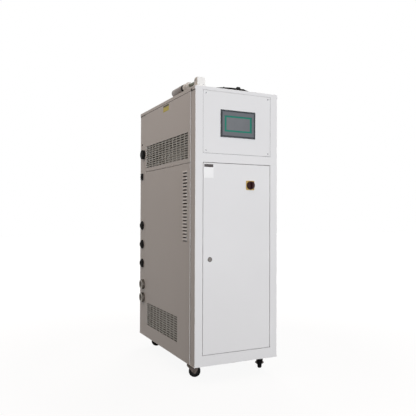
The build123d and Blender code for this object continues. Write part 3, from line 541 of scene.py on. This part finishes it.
new_object("side_panel_shade_strips", mesh, [sponge_rubber])

# Name plates: two blank plates of printed foil, one on the door and one high on the left side.
# Each has a dark head over a light field with a thin edge, and a dull satin surface.
plate_thick = 0.6 * MM
head_thick = 1.3 * plate_thick
plate_edge = 1.5 * MM
foil_dark = new_material("dark_printed_foil", "231616", 0.5)[0]
foil_white = new_material("white_printed_foil", "f0f0ee", 0.45)[0]
foil_straw = new_material("straw_printed_foil", "d6c93c", 0.45)[0]


def name_plate(name, body, field_foil, corner, along, out, width, height, head):
    """A blank plate: a thin sheet in the field's colour, with a darker head let onto it."""
    up = Vector((0, 0, 1))
    mesh = bmesh.new()
    for low, high, thick, foil in ((0.0, height, plate_thick, 0),
                                   (height - head, height - plate_edge, head_thick, 1)):
        inset = plate_edge * foil
        corners = ((inset, low), (width - inset, low), (width - inset, high), (inset, high))
        loops = [[mesh.verts.new(corner + along * a + up * b + out * rise) for a, b in corners]
                 for rise in (0, thick)]
        for face in skin(mesh, loops):
            face.material_index = foil
    new_object(name, mesh, [field_foil, foil_dark], body)


name_plate("door_name_plate", "door", foil_white,
           Vector((cabinet_middle - 237 * MM, cabinet_front, body_bottom + 1163 * MM)),
           Vector((1, 0, 0)), Vector((0, -1, 0)), width=65 * MM, height=87 * MM, head=20 * MM)
name_plate("side_name_plate", "cabinet", foil_straw,
           Vector((cabinet_left, cabinet_front + 540 * MM, body_bottom + 1655 * MM)),
           Vector((0, -1, 0)), Vector((-1, 0, 0)), width=105 * MM, height=45 * MM, head=13 * MM)

# Touch screen: a housing moulded in grey ABS, with a darker raised rim round its front, and a green frame
# let into it. The ABS has a fine sparked grain, drawn at 1.5 mm so that it shows.
bezel_abs = moulded_finish("sparked_grey_abs", "676b6f", 0.6, 1.5, 0.1, 0.3)
rim_abs = moulded_finish("dark_grey_abs", "34383b", 0.6, 1.5, 0.1, 0.3)
green_abs = moulded_finish("smooth_green_abs", "0f7562", 0.5, 4.0, 0.04, 0.25)
finish(bezel_abs, "touch_screen_bezel")
finish(green_abs, "touch_screen_frame")


def border(mesh, low, high, width, bevel):
    """Adds a picture frame that faces the front, between two corners, with bevelled front edges."""
    loops = []
    for inset, y in ((0, high.y), (0, low.y + bevel), (bevel, low.y), (width - bevel, low.y),
                     (width, low.y + bevel), (width, high.y)):
        loops.append([mesh.verts.new((x, y, z)) for x, z in (
            (low.x + inset, low.z + inset), (high.x - inset, low.z + inset),
            (high.x - inset, high.z - inset), (low.x + inset, high.z - inset))])
    skin(mesh, loops, closed=True)


rim_out = 0.4 * MM
rim_width = 10.5 * MM
rim_proud = 1.4 * MM
rim_bevel = 1.0 * MM
screen_low, screen_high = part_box("touch_screen_bezel")
mesh = bmesh.new()
border(mesh, Vector((screen_low.x - rim_out, screen_low.y - rim_proud, screen_low.z - rim_out)),
       Vector((screen_high.x + rim_out, cabinet_front, screen_high.z + rim_out)), rim_width, rim_bevel)
new_object("touch_screen_rim", mesh, [rim_abs], crease=20)

# Display: a grey film under hard coated glass. It is unlit: dim clouds and a fine grid of picture
# cells, 0.3 mm apart in the real one and drawn at 3 mm, are all that shows in it.
cell_mm = 3.0
cell_edge = (0.86, 0.86, 0.86, 1)
dim_cloud_mm = 1000 / 9
display_glass, tree, shader = new_material("coated_display_glass", "53575b", 0.4, Coat_Weight=0.6,
                                           Coat_Roughness=0.15)
place = add_node(tree, "TexCoord")
film = blend(tree, noise(tree, place, dim_cloud_mm, 2.0), linear("474b4f"), linear("5c6064"))
turned_place = add_node(tree, "Mapping", {"Rotation": (math.pi / 2, 0, 0)},
                        {"Vector": place.outputs["Object"]})
cells = add_node(tree, "TexBrick",
                 {"Scale": 1 / (cell_mm * MM), "Mortar Size": 0.06, "Brick Width": 1.0, "Row Height": 1.0,
                  "offset": 0.0, "Color1": (1, 1, 1, 1), "Color2": (1, 1, 1, 1), "Mortar": cell_edge},
                 {"Vector": turned_place.outputs[0]})
add_node(tree, "Mix", {"data_type": "RGBA", "blend_type": "MULTIPLY", 0: 1.0},
         {6: film.outputs[2], 7: cells.outputs["Color"]}, shader.inputs["Base Color"])
finish(display_glass, "touch_screen_display")

# Fan: a spun steel ring with a satin black coat, bolted on the roof, an outer-rotor motor on four arms
# and a rotor moulded in black nylon. The coat has a fine texture of 1 mm, drawn at 2 mm.
texture_mm = 2.0
texture_high = 0.1 * MM
black_coat, tree, shader = new_material("black_powder_coat", "0d0b0a", 0.75, Specular_IOR_Level=0.1)
place = add_node(tree, "TexCoord")
texture = noise(tree, place, texture_mm, 2.0)
add_node(tree, "MapRange", {"To Min": 0.65, "To Max": 0.85}, {"Value": texture.outputs["Fac"]},
         shader.inputs["Roughness"])
relief(tree, texture, 0.4, texture_high, shader)
black_nylon = moulded_finish("glass_filled_black_nylon", "12100f", 0.65, 2.0, 0.12, 0.2)
finish(black_coat, "fan_ring", "fan_motor")
finish(black_nylon, "fan_rotor")

# Fan guard: rings of 2.8 mm wire on a shallow dome, spot welded under eight spokes of 4 mm wire,
# with a round plate in the middle. The rings are 12 mm apart, so that no finger passes.
guard_wire = 1.4 * MM
spoke_wire = 2.0 * MM
rim_wire = 3.0 * MM
rim_up = 1.0 * MM
guard_pitch = 12.0 * MM
guard_spokes = 8
spoke_steps = 12
guard_plate = 30.0 * MM
guard_plate_thick = 1.5 * MM
guard_low, guard_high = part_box("fan_guard")
fan_low, fan_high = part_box("fan_ring")
fan_centre = Vector(((fan_low.x + fan_high.x) / 2, (fan_low.y + fan_high.y) / 2, 0))
guard_reach = (guard_high.x - guard_low.x) / 2 - spoke_wire
guard_rise = guard_high.z - guard_low.z - 2 * spoke_wire - guard_wire


def wire(mesh, points, radius, sides=8):
    """Adds a round wire along a line of points in one upright plane, with flat ends."""
    rings = []
    for place, point in enumerate(points):
        before = points[max(place - 1, 0)]
        after = points[min(place + 1, len(points) - 1)]
        along = (after - before).normalized()
        across = along.cross(Vector((0, 0, 1))).normalized()
        up = across.cross(along)
        rings.append([mesh.verts.new(point + radius * (math.cos(a) * across + math.sin(a) * up))
                      for a in (math.tau * step / sides for step in range(sides))])
    skin(mesh, rings)


def wire_ring(mesh, reach, height, radius, sides=8):
    """Adds a ring of round wire round the fan's axis."""
    section = [(reach + radius * math.cos(a), radius * math.sin(a))
               for a in (math.tau * step / sides for step in range(sides))]
    turned(mesh, section, fan_centre + Vector((0, 0, height)), (0, 0, 1), sides=96, closed=True)


def guard_height(reach):
    """Height of the guard's wires at a distance from its middle."""
    return guard_low.z + spoke_wire + guard_rise * (1 - (reach / guard_reach) ** 2)


def outward(angle):
    """Direction away from the fan's axis."""
    return Vector((math.cos(angle), math.sin(angle), 0))


mesh = bmesh.new()
ring_count = int((guard_reach - guard_plate) / guard_pitch) + 1
for ring in range(ring_count):
    reach = guard_reach - ring * guard_pitch
    wire_ring(mesh, reach, guard_height(reach), guard_wire)
for spoke in range(guard_spokes):
    out = outward(math.tau * (spoke + 0.5) / guard_spokes)
    line = [fan_centre + out * reach + Vector((0, 0, guard_height(reach) + guard_wire + spoke_wire))
            for reach in (guard_reach * step / spoke_steps for step in range(1, spoke_steps + 1))]
    foot = fan_centre + out * guard_reach + Vector((0, 0, guard_low.z + spoke_wire))
    wire(mesh, line, spoke_wire)
    wire(mesh, [foot - out * spoke_wire, foot + out * spoke_wire], spoke_wire)
turned(mesh, [(guard_plate, 0), (guard_plate, guard_plate_thick)],
       fan_centre + Vector((0, 0, guard_height(0) + guard_wire)), (0, 0, 1), sides=48)
ring_radius = (fan_high.x - fan_low.x) / 2
wire_ring(mesh, ring_radius - rim_wire, fan_high.z + rim_up, rim_wire, sides=10)
new_object("fan_wire_guard", mesh, [black_coat], replaces="fan_guard")

# Fan fasteners: stainless hex screws with washers at the ends of the motor's arms, and small screws in
# the motor's flange and in the lid of the connection box.
first_arm_turn = 45
arm_screw_reach = 186 * MM
motor_screw_reach = 34 * MM
motor_top = Vector((0, 0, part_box("fan_motor")[1].z))
box_low, box_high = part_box("fan_connection_box")
box_lid_in = 9 * MM
box_lid_down = 4 * MM
box_lid_edge = 2 * MM
box_foot_high = 6 * MM
lid_screw_in = 4 * MM
box_y = (box_low.y + box_high.y) / 2
lid_top = box_high.z - box_lid_down
mesh = bmesh.new()
for arm in range(4):
    out = outward(math.radians(first_arm_turn + 90 * arm))
    spot = fan_centre + out * arm_screw_reach + motor_top
    turned(mesh, mm((6.5, 0), (6.5, 1)), spot, (0, 0, 1), sides=24)
    turned(mesh, mm((4.6, 1), (4.6, 3.6), (4.0, 4.2)), spot, (0, 0, 1), sides=6)
    screw_head(mesh, fan_centre + out * motor_screw_reach + motor_top, (0, 0, 1), 3.5 * MM, 2 * MM)
for x in (box_low.x + box_lid_in + lid_screw_in, box_high.x - box_lid_in - lid_screw_in):
    screw_head(mesh, (x, box_y, lid_top), (0, 0, 1), 2.6 * MM, 1.2 * MM)
new_object("fan_screws", mesh, [screw_steel])

# Fan clips: four small clips cut from stainless strip, which hold the edge of the ring down on the roof
# with one screw each. They show as grey tabs round the black ring.
clip_long = 18 * MM
clip_under = 2 * MM
clip_half = 6 * MM
clip_thick = 3 * MM
first_clip_turn = -25
roof_top = roof_high.z
mesh = bmesh.new()
for clip in range(4):
    out = outward(math.radians(first_clip_turn + 90 * clip))
    across = Vector((-out.y, out.x, 0))
    corners = [fan_centre + out * (ring_radius + reach) + across * wide
               for reach, wide in ((-clip_under, -clip_half), (clip_long, -clip_half),
                                   (clip_long, clip_half), (-clip_under, clip_half))]
    skin(mesh, [[mesh.verts.new((spot.x, spot.y, z)) for spot in corners]
                for z in (roof_top, roof_top + clip_thick)])
    spot = fan_centre + out * (ring_radius + clip_long / 2)
    screw_head(mesh, (spot.x, spot.y, roof_top + clip_thick), (0, 0, 1), 4.0 * MM, 2.5 * MM)
new_object("fan_ring_clips", mesh, [screw_steel], crease=20)

# Connection box: moulded in black nylon, with walls that lean in towards its lid.
# The motor's lead leaves it through a small ribbed gland on its left side.
gland_up = 14 * MM
gland_rib = 0.3 * MM
mesh = bmesh.new()
levels = [(0, box_low.z), (0, box_low.z + box_foot_high), (box_lid_in, lid_top - box_lid_edge),
          (box_lid_in + box_lid_edge, lid_top)]
skin(mesh, [[mesh.verts.new((x, y, z)) for x, y in (
    (box_low.x + inset, box_low.y + inset / 2), (box_high.x - inset, box_low.y + inset / 2),
    (box_high.x - inset, box_high.y - inset / 2), (box_low.x + inset, box_high.y - inset / 2))]
    for inset, z in levels])
new_object("fan_connection_box_shell", mesh, [black_nylon], crease=20,
           replaces="fan_connection_box")
mesh = bmesh.new()
gland_spot = (box_low.x, box_y, box_low.z + gland_up)
turned(mesh, mm((8.5, 0), (8.5, 4)), gland_spot, (-1, 0, 0), sides=6)
turned(mesh, mm((7.5, 4), (7.5, 9), (5.5, 12), (3.4, 12), (3.2, 6)), gland_spot, (-1, 0, 0), sides=24,
       rib=gland_rib)
new_object("fan_lead_gland", mesh, [black_nylon])

# Door: a coated pan on three lift-off butts, with a soft black rubber seal glued round its inside.
# The seal is an extruded sponge profile that shows only when the door stands open.
seal_in = 8 * MM
seal_width = 12 * MM
seal_thick = 7 * MM
door_sheet = 2 * MM
finish(powder_coat, "door", "hinge_frame_leaves", "hinge_door_leaves")
door_low, door_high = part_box("door")
mesh = bmesh.new()
border(mesh, Vector((door_low.x + seal_in, cabinet_front + door_sheet, door_low.z + seal_in)),
       Vector((door_high.x - seal_in, cabinet_front + door_sheet + seal_thick, door_high.z - seal_in)),
       seal_width, 0.0)
new_object("door_seal", mesh, [sponge_rubber], "door")


# Main switch: a yellow ABS plate held by four small screws, a black collar, a dark red ABS knob that
# turns on it, and behind the door a black nylon switch with brass terminal screws.
def face_middle(node, axis):
    """Middle of the side of a node's box that faces left, with axis 0, or to the front, with axis 1."""
    low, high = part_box(node)
    middle = (low + high) / 2
    middle[axis] = low[axis]
    return middle


switch = face_middle("switch_plate", 1)
yellow_abs = moulded_finish("yellow_abs", "cfa94c", 0.4, 3.0, 0.04)
red_abs = moulded_finish("dark_red_abs", "300c0d", 0.45, 3.0, 0.04, 0.2)
terminal_brass = worked_metal("yellow_brass", "b58f45", "8f6d30", 4, 0.35)
collar_profile = mm((27.5, 0), (27.5, 2), (26.6, 2), (26.6, 0))
plate_screw_out = 24.5 * MM
terminal_out = 18 * MM
terminal_back = 16 * MM
finish(yellow_abs, "switch_plate")
finish(red_abs, "switch_knob")
finish(black_nylon, "switch_body")
mesh = bmesh.new()
turned(mesh, collar_profile, switch, (0, -1, 0), sides=64, closed=True)
new_object("switch_collar", mesh, [black_nylon], "door")
mesh = bmesh.new()
for across in (-plate_screw_out, plate_screw_out):
    for up in (-plate_screw_out, plate_screw_out):
        screw_head(mesh, switch + Vector((across, 0, up)), (0, -1, 0), 2.4 * MM, 1.0 * MM)
new_object("switch_screws", mesh, [screw_steel], "door")
body_low, body_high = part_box("switch_body")
mesh = bmesh.new()
for z, up in ((body_low.z, -1), (body_high.z, 1)):
    for across in (-terminal_out, 0, terminal_out):
        screw_head(mesh, (switch.x + across, body_high.y - terminal_back, z), (0, 0, up), 4.0 * MM, 2.0 * MM)
new_object("switch_terminals", mesh, [terminal_brass], "door")


# Door lock: a die-cast zinc barrel with dark satin chrome on it and a key slot, on a black rubber washer,
# and a zinc-plated steel cam. The turned face shows faint rings, drawn 6 mm apart.
def line_scale(spacing_mm):
    """Scale of a wave texture whose lines stand this far apart: it makes 20 / tau of them to a unit."""
    return math.tau / 20 / (spacing_mm * MM)


lock_ring_mm = 6.2832
mark_high = 0.05 * MM
lock_low, lock_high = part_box("lock_barrel")
lock_place = face_middle("lock_barrel", 1)
satin_chrome, tree, shader = new_material("satin_chrome", "6a6663", 0.35, 1.0)
place = add_node(tree, "TexCoord")
centred = add_node(tree, "VectorMath", {"operation": "SUBTRACT", 1: lock_place},
                   {0: place.outputs["Object"]})
rings = add_node(tree, "TexWave",
                 {"wave_type": "RINGS", "rings_direction": "Y", "Scale": line_scale(lock_ring_mm),
                  "Distortion": 0.4},
                 {"Vector": centred.outputs[0]})
relief(tree, rings, 0.3, mark_high, shader)
zinc_plate = worked_metal("zinc_plated_steel", "b4b5b3", "95979a", 30, 0.42)
finish(satin_chrome, "lock_barrel")
finish(zinc_plate, "lock_cam", "compartment_wall", "tank_stand")
lock_radius = (lock_high.x - lock_low.x) / 2
washer_inner = lock_radius - 1 * MM
washer_outer = lock_radius + 1.4 * MM
washer_proud = 1.2 * MM
mesh = bmesh.new()
turned(mesh, [(washer_inner, 0), (washer_outer, 0), (washer_outer, washer_proud),
              (washer_inner, washer_proud)],
       (lock_place.x, cabinet_front, lock_place.z), (0, -1, 0), 48, closed=True)
new_object("lock_washer", mesh, [sponge_rubber], "door")

# Fluid ports: turned stainless steel sockets with a two-inch pipe thread of 2.3 mm pitch. The turning
# marks show as faint rings 1 mm apart. A dark, dull brown sheet in the bore past the thread is painted shade
# deep in the bore.
thread_pitch = 2.309 * MM
thread_turns = 11
thread_depth = 0.9 * MM
bore_radius = 25.0 * MM
bore_depth = 60 * MM
shadow_sheet_radius = bore_radius - 0.25 * MM
shadow_sheet_end = bore_depth - 0.25 * MM
turning_mark_mm = 1.0472
port_steel = worked_metal("turned_stainless_steel", "8a857e", "6f6a64", 12, 0.38)
tree = port_steel.node_tree
place = add_node(tree, "TexCoord")
marks = add_node(tree, "TexWave",
                 {"bands_direction": "X", "Scale": line_scale(turning_mark_mm), "Distortion": 1.0},
                 {"Vector": place.outputs["Object"]})
relief(tree, marks, 0.3, mark_high, tree.nodes["Principled BSDF"])
# The bore's dark brown is painted shade.
bore_shadow_paint = worked_metal("dull_brown_painted_bore_shade", "2b2019", "17100c", 6, 0.7, metallic=0.4)
finish(port_steel, "supply_port", "return_port")

for port in ("supply_port", "return_port"):
    mouth = face_middle(port, 0)
    mesh = bmesh.new()
    for turn in range(thread_turns):
        start = (turn + 0.6) * thread_pitch
        turned(mesh, [(bore_radius, start), (bore_radius, start + 0.8 * thread_pitch),
                      (bore_radius - thread_depth, start + 0.4 * thread_pitch)],
               mouth, (1, 0, 0), 48, closed=True)
    new_object(f"{port}_thread", mesh, [port_steel])
    mesh = bmesh.new()
    start = (thread_turns + 1) * thread_pitch
    turned(mesh, [(bore_radius, start), (bore_radius, bore_depth), (shadow_sheet_radius, bore_depth),
                  (shadow_sheet_radius, start)], mouth, (1, 0, 0), 48, closed=True)
    turned(mesh, [(shadow_sheet_radius, shadow_sheet_end), (shadow_sheet_radius, bore_depth)], mouth, (1, 0, 0), 48)
    new_object(f"{port}_dark_bore_painted_shade", mesh, [bore_shadow_paint])

# Cable glands: black nylon flanges with a hexagon nut, a domed sleeve and a soft rubber insert, one for
# each lead. They are screwed through the strip and show as black rings with a small hole.
gland_nut = mm((27, 0), (27, 5), (25, 6.5), (15, 6.5), (15, 0))
gland_sleeve = mm((19.5, 6.5), (19.5, 8.5), (17.5, 10), (12, 10), (12, 6.5))
gland_insert = mm((12, 0), (12, 8.5), (10, 7.5), (7, 7.5), (6.5, 0))
gland_rubber = moulded_finish("black_gland_rubber", "0f0e0d", 0.8, 1.0, 0.1, 0.25)
finish(black_nylon, "cable_glands", "filling_cap", "signal_socket")
gland_low, gland_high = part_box("cable_glands")
gland_y = (gland_low.y + gland_high.y) / 2
gland_radius = (gland_high.y - gland_low.y) / 2
mesh = bmesh.new()
inserts = bmesh.new()
for z in (gland_low.z + gland_radius, (gland_low.z + gland_high.z) / 2, gland_high.z - gland_radius):
    spot = (gland_low.x, gland_y, z)
    turned(mesh, gland_nut, spot, (-1, 0, 0), 6, closed=True)
    turned(mesh, gland_sleeve, spot, (-1, 0, 0), 32, closed=True)
    turned(inserts, gland_insert, spot, (-1, 0, 0), 32, closed=True)
new_object("cable_gland_nuts", mesh, [black_nylon])
new_object("cable_gland_inserts", inserts, [gland_rubber])

# Signal socket: a black nylon outlet with a round lid that hinges on a pin along its top edge.
# Two small screws under the lid hold it to the strip.
lid_down = 3 * MM
pin_radius = 2.4 * MM
pin_half = 14 * MM
pin_proud = 1.4 * MM
pin_down = 5 * MM
socket_screw_out = 17 * MM
socket_screw_up = 6 * MM
socket = face_middle("signal_socket", 0)
socket_low, socket_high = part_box("signal_socket")
mesh = bmesh.new()
turned(mesh, mm((15, 0), (15, 2.4), (13.5, 3.2), (10.5, 3.2), (10, 1)),
       socket - Vector((0, 0, lid_down)), (-1, 0, 0), 40)
turned(mesh, [(pin_radius, -pin_half), (pin_radius, pin_half)],
       (socket.x - pin_proud, socket.y, socket_high.z - pin_down), (0, 1, 0), 16)
new_object("signal_socket_lid", mesh, [black_nylon])
mesh = bmesh.new()
for y in (socket.y - socket_screw_out, socket.y + socket_screw_out):
    screw_head(mesh, (socket.x, y, socket_low.z + socket_screw_up), (-1, 0, 0), 2.6 * MM, 1.2 * MM)
new_object("signal_socket_screws", mesh, [screw_steel])

# Hole plug: a soft black rubber plug, pressed into a small hole in the strip above the filling cap.
# It shows as a black dot.
plug_from_front = 1002 * MM
plug_up = 1480 * MM
post_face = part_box("rear_left_post")[0].x
mesh = bmesh.new()
turned(mesh, mm((7, 0), (7, 1), (6, 1.8)),
       (post_face, cabinet_front + plug_from_front, body_bottom + plug_up), (-1, 0, 0), 24)
new_object("rear_strip_plug", mesh, [gland_rubber])

# Filling cap: a black nylon screw cap over the filling pipe of the tank. A raised rim round its
# recessed top catches the light.
cap_rim = mm((28, -0.5), (28, 1.6), (26, 2.2), (22, 2.2), (20, 0.4), (20, -0.5))
mesh = bmesh.new()
turned(mesh, cap_rim, face_middle("filling_cap", 0), (-1, 0, 0), 48, closed=True)
new_object("filling_cap_rim", mesh, [black_nylon])

# Casters: pressed steel forks with a dull zinc plate, coloured a dark brown grey that paints the shade under
# the cabinet, black rubber tyres on dark nylon wheels, and black nylon pedals. Four hex bolts hold each
# plate, and a hex nut sits on a washer at each end of the axle.
# A dark brown grey zinc: dull plating, with the shade under the cabinet painted into it.
caster_zinc_and_painted_shade = worked_metal("dull_zinc_with_painted_shade", "6a5f58", "4c443f", 14, 0.6, metallic=0.3)
tyre_rubber = moulded_finish("black_tyre_rubber", "0b0a0a", 0.85, 1.2, 0.12, 0.1)
wheel_nylon = moulded_finish("dark_grey_nylon", "171615", 0.6, 2.0, 0.08, 0.2)
bolt_washer = mm((8, 0), (8, 1))
bolt_head = mm((6.5, 1), (6.5, 4), (5.6, 4.8))
axle_washer = mm((8.5, 0), (8.5, 1))
axle_nut = mm((7.5, 1), (7.5, 5.5), (6.4, 6.4))
axle_end = mm((3.6, 6.4), (3.6, 8), (2.8, 8.8))
wheel_web = mm((13.2, 5.05), (24.9, 5.05), (27.8, 11.8), (28.6, 12.3), (27.2, 12.3), (24.2, 5.6), (13.2, 5.6))
tyre_line = mm((31.6, 11.9), (32.4, 11.9), (32.2, 12.4), (31.8, 12.4))
bolt_across = 23 * MM
bolt_along = 35 * MM
fork_half = 20.5 * MM
caster_plate_thick = 3 * MM
joints = {joint["name"]: joint for joint in frame["joints"]}
plate_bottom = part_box("caster_plates")[1].z - caster_plate_thick
finish(caster_zinc_and_painted_shade, "caster_plates")
bolts = bmesh.new()
for corner in ("front_left", "front_right", "rear_left", "rear_right"):
    finish(caster_zinc_and_painted_shade, f"caster_fork_{corner}")
    finish(tyre_rubber, f"caster_wheel_{corner}")
    if corner.startswith("front"):
        finish(black_nylon, f"caster_pedal_{corner}")
    swivel = Vector(joints[f"swivel_{corner}"]["pos_m"])
    hub = Vector(joints[f"roll_{corner}"]["pos_m"])
    axle = Vector(joints[f"roll_{corner}"]["axis"])
    for across in (-bolt_across, bolt_across):
        for along in (-bolt_along, bolt_along):
            spot = (swivel.x + across, swivel.y + along, plate_bottom)
            turned(bolts, bolt_washer, spot, (0, 0, -1), 20)
            turned(bolts, bolt_head, spot, (0, 0, -1), 6)
    nuts = bmesh.new()
    webs = bmesh.new()
    lines = bmesh.new()
    for side in (-1, 1):
        out = axle * side
        spot = hub + axle * fork_half * side
        turned(nuts, axle_washer, spot, out, 24)
        turned(nuts, axle_nut, spot, out, 6)
        turned(nuts, axle_end, spot, out, 16)
        turned(webs, wheel_web, hub, out, 56, closed=True)
        turned(lines, tyre_line, hub, out, 56, closed=True)
    new_object(f"caster_axle_nuts_{corner}", nuts, [caster_zinc_and_painted_shade], f"fork_{corner}")
    new_object(f"caster_wheel_web_{corner}", webs, [wheel_nylon], f"wheel_{corner}")
    new_object(f"caster_tyre_lines_{corner}", lines, [tyre_rubber], f"wheel_{corner}")
new_object("caster_plate_bolts", bolts, [screw_steel])

# Signal light: a moulded base screwed to the roof, a neck of olive anodised tube, a pale collar with two
# raised rings, a black seal and a lamp of ribbed, frosted polycarbonate with a dark end cap.
light_abs = moulded_finish("white_abs", "f0efea", 0.45, 2.0, 0.08, shade=0.95)
neck_metal = worked_metal("olive_anodised_tube", "7d8074", "6a6c60", 20, 0.45, metallic=0.7)
lens_plastic = moulded_finish("frosted_polycarbonate", "a39d99", 0.4, 3.0, 0.05, Coat_Weight=0.3)
cap_abs = moulded_finish("brown_grey_abs", "6d6662", 0.5, 2.0, 0.08)
finish(light_abs, "signal_light_base", "signal_light_pole")
finish(gland_rubber, "signal_light_gasket")
lamp_low, lamp_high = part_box("signal_light_lamp")
base_low, base_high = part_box("signal_light_base")
light_x = (lamp_low.x + lamp_high.x) / 2
light_z = (lamp_low.z + lamp_high.z) / 2
lamp_radius = (lamp_high.x - lamp_low.x) / 2
lamp_length = lamp_high.y - lamp_low.y
lamp_rib = 0.9 * MM
end_cap_long = 12 * MM
lens = [(lamp_radius - 1.5 * MM, 0), (lamp_radius, 1.5 * MM), (lamp_radius, lamp_length - 14 * MM),
        (lamp_radius - 0.6 * MM, lamp_length - end_cap_long)]
end_cap = [(lamp_radius - 0.3 * MM, 0), (lamp_radius - 0.3 * MM, 6 * MM), (lamp_radius - 2 * MM, 9.5 * MM),
           (lamp_radius - 6 * MM, 11.5 * MM), (lamp_radius - 12 * MM, end_cap_long), (6 * MM, end_cap_long),
           (5 * MM, 10.5 * MM)]
collar_ring = mm((24, 0), (25.4, 1), (25.4, 7), (24, 8))
collar_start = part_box("signal_light_gasket")[0].y - 75 * MM
collar_ring_starts = (18 * MM, 58 * MM)
neck_outer = 10.35 * MM
neck_inner = neck_outer - 0.35 * MM
neck_start = base_high.y + 1 * MM
neck_length = collar_start - neck_start
foot_screw_out = 14 * MM
foot_screw_up = 10 * MM

mesh = bmesh.new()
turned(mesh, lens, (light_x, lamp_low.y, light_z), (0, 1, 0), 96, rib=lamp_rib)
new_object("signal_light_lens", mesh, [lens_plastic], "signal_light", crease=60,
           replaces="signal_light_lamp")
mesh = bmesh.new()
turned(mesh, end_cap, (light_x, lamp_high.y - end_cap_long, light_z), (0, 1, 0), 64)
new_object("signal_light_end_cap", mesh, [cap_abs], "signal_light")
mesh = bmesh.new()
for start in collar_ring_starts:
    turned(mesh, collar_ring, (light_x, collar_start + start, light_z), (0, 1, 0), 64, closed=True)
new_object("signal_light_collar_rings", mesh, [light_abs], "signal_light")
mesh = bmesh.new()
turned(mesh, [(neck_outer, 0), (neck_outer, neck_length), (neck_inner, neck_length), (neck_inner, 0)],
       (light_x, neck_start, light_z), (0, 1, 0), 40, closed=True)
new_object("signal_light_neck_tube", mesh, [neck_metal], "signal_light")
pivot = Vector(joints["light_fold"]["pos_m"])
mesh = bmesh.new()
for side, x in ((-1, base_low.x), (1, base_high.x)):
    screw_head(mesh, (x, pivot.y, pivot.z), (side, 0, 0), 5.5 * MM, 2.4 * MM)
    foot_screw = (light_x + side * foot_screw_out, base_low.y, base_low.z + foot_screw_up)
    screw_head(mesh, foot_screw, (0, -1, 0), 2.8 * MM, 1.4 * MM)
new_object("signal_light_screws", mesh, [screw_steel])

# Tank: rotation-moulded in natural polyethylene, with two raised hoops and a domed lid, on a zinc-plated
# stand. It shows only as a pale, waxy face behind the slots of the upper grille.
tank_polyethylene = moulded_finish("natural_polyethylene", "e1e3e0", 0.5, 6.0, 0.3)
finish(tank_polyethylene, "water_tank")
tank_low, tank_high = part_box("water_tank")
tank_lid = mm((70, 0), (70, 14), (64, 20), (20, 24))
hoop_levels = (0.28, 0.72)
hoop_rise = 14 * MM
hoop_high = 24 * MM
hoop_corner = 30 * MM
mesh = bmesh.new()
for share in hoop_levels:
    z = tank_low.z + share * (tank_high.z - tank_low.z)
    loops = []
    for out, up in ((0, -hoop_high / 2), (hoop_rise / 2, -hoop_high / 4), (hoop_rise / 2, hoop_high / 4),
                    (0, hoop_high / 2)):
        x0, x1 = tank_low.x - out, tank_high.x + out
        y0, y1 = tank_low.y - out, tank_high.y + out
        loops.append([mesh.verts.new((x, y, z + up)) for x, y in (
            (x0 + hoop_corner, y0), (x1 - hoop_corner, y0), (x1, y0 + hoop_corner), (x1, y1 - hoop_corner),
            (x1 - hoop_corner, y1), (x0 + hoop_corner, y1), (x0, y1 - hoop_corner), (x0, y0 + hoop_corner))])
    skin(mesh, loops, closed=True)
tank_middle = ((tank_low.x + tank_high.x) / 2, (tank_low.y + tank_high.y) / 2, tank_high.z)
turned(mesh, tank_lid, tank_middle, (0, 0, 1), 48)
new_object("water_tank_hoops", mesh, [tank_polyethylene])

# Coils: aluminium fins pressed on copper tubes, behind the lower grilles. The fins stand 2 mm apart in
# the real coils, and are drawn 5 mm apart as bright and dark lines. The dark lines are painted shade in the
# gaps between the fins.
fin_mm = 5.0
fin_deep = 1.0 * MM
fin_metal_and_painted_shade, tree, shader = new_material("aluminium_fins_with_painted_gap_shade", "6f6d68", 0.5, 0.8)
place = add_node(tree, "TexCoord")
fins = add_node(tree, "TexWave",
                {"bands_direction": "Y", "Scale": line_scale(fin_mm), "Distortion": 0.3},
                {"Vector": place.outputs["Object"]})
# Dark bands of painted shade between the fins' lighter lines.
blend(tree, fins, linear("2c2a27"), linear("8c8983"), shader.inputs["Base Color"])
relief(tree, fins, 0.8, fin_deep, shader)
finish(fin_metal_and_painted_shade, "condenser_coils")
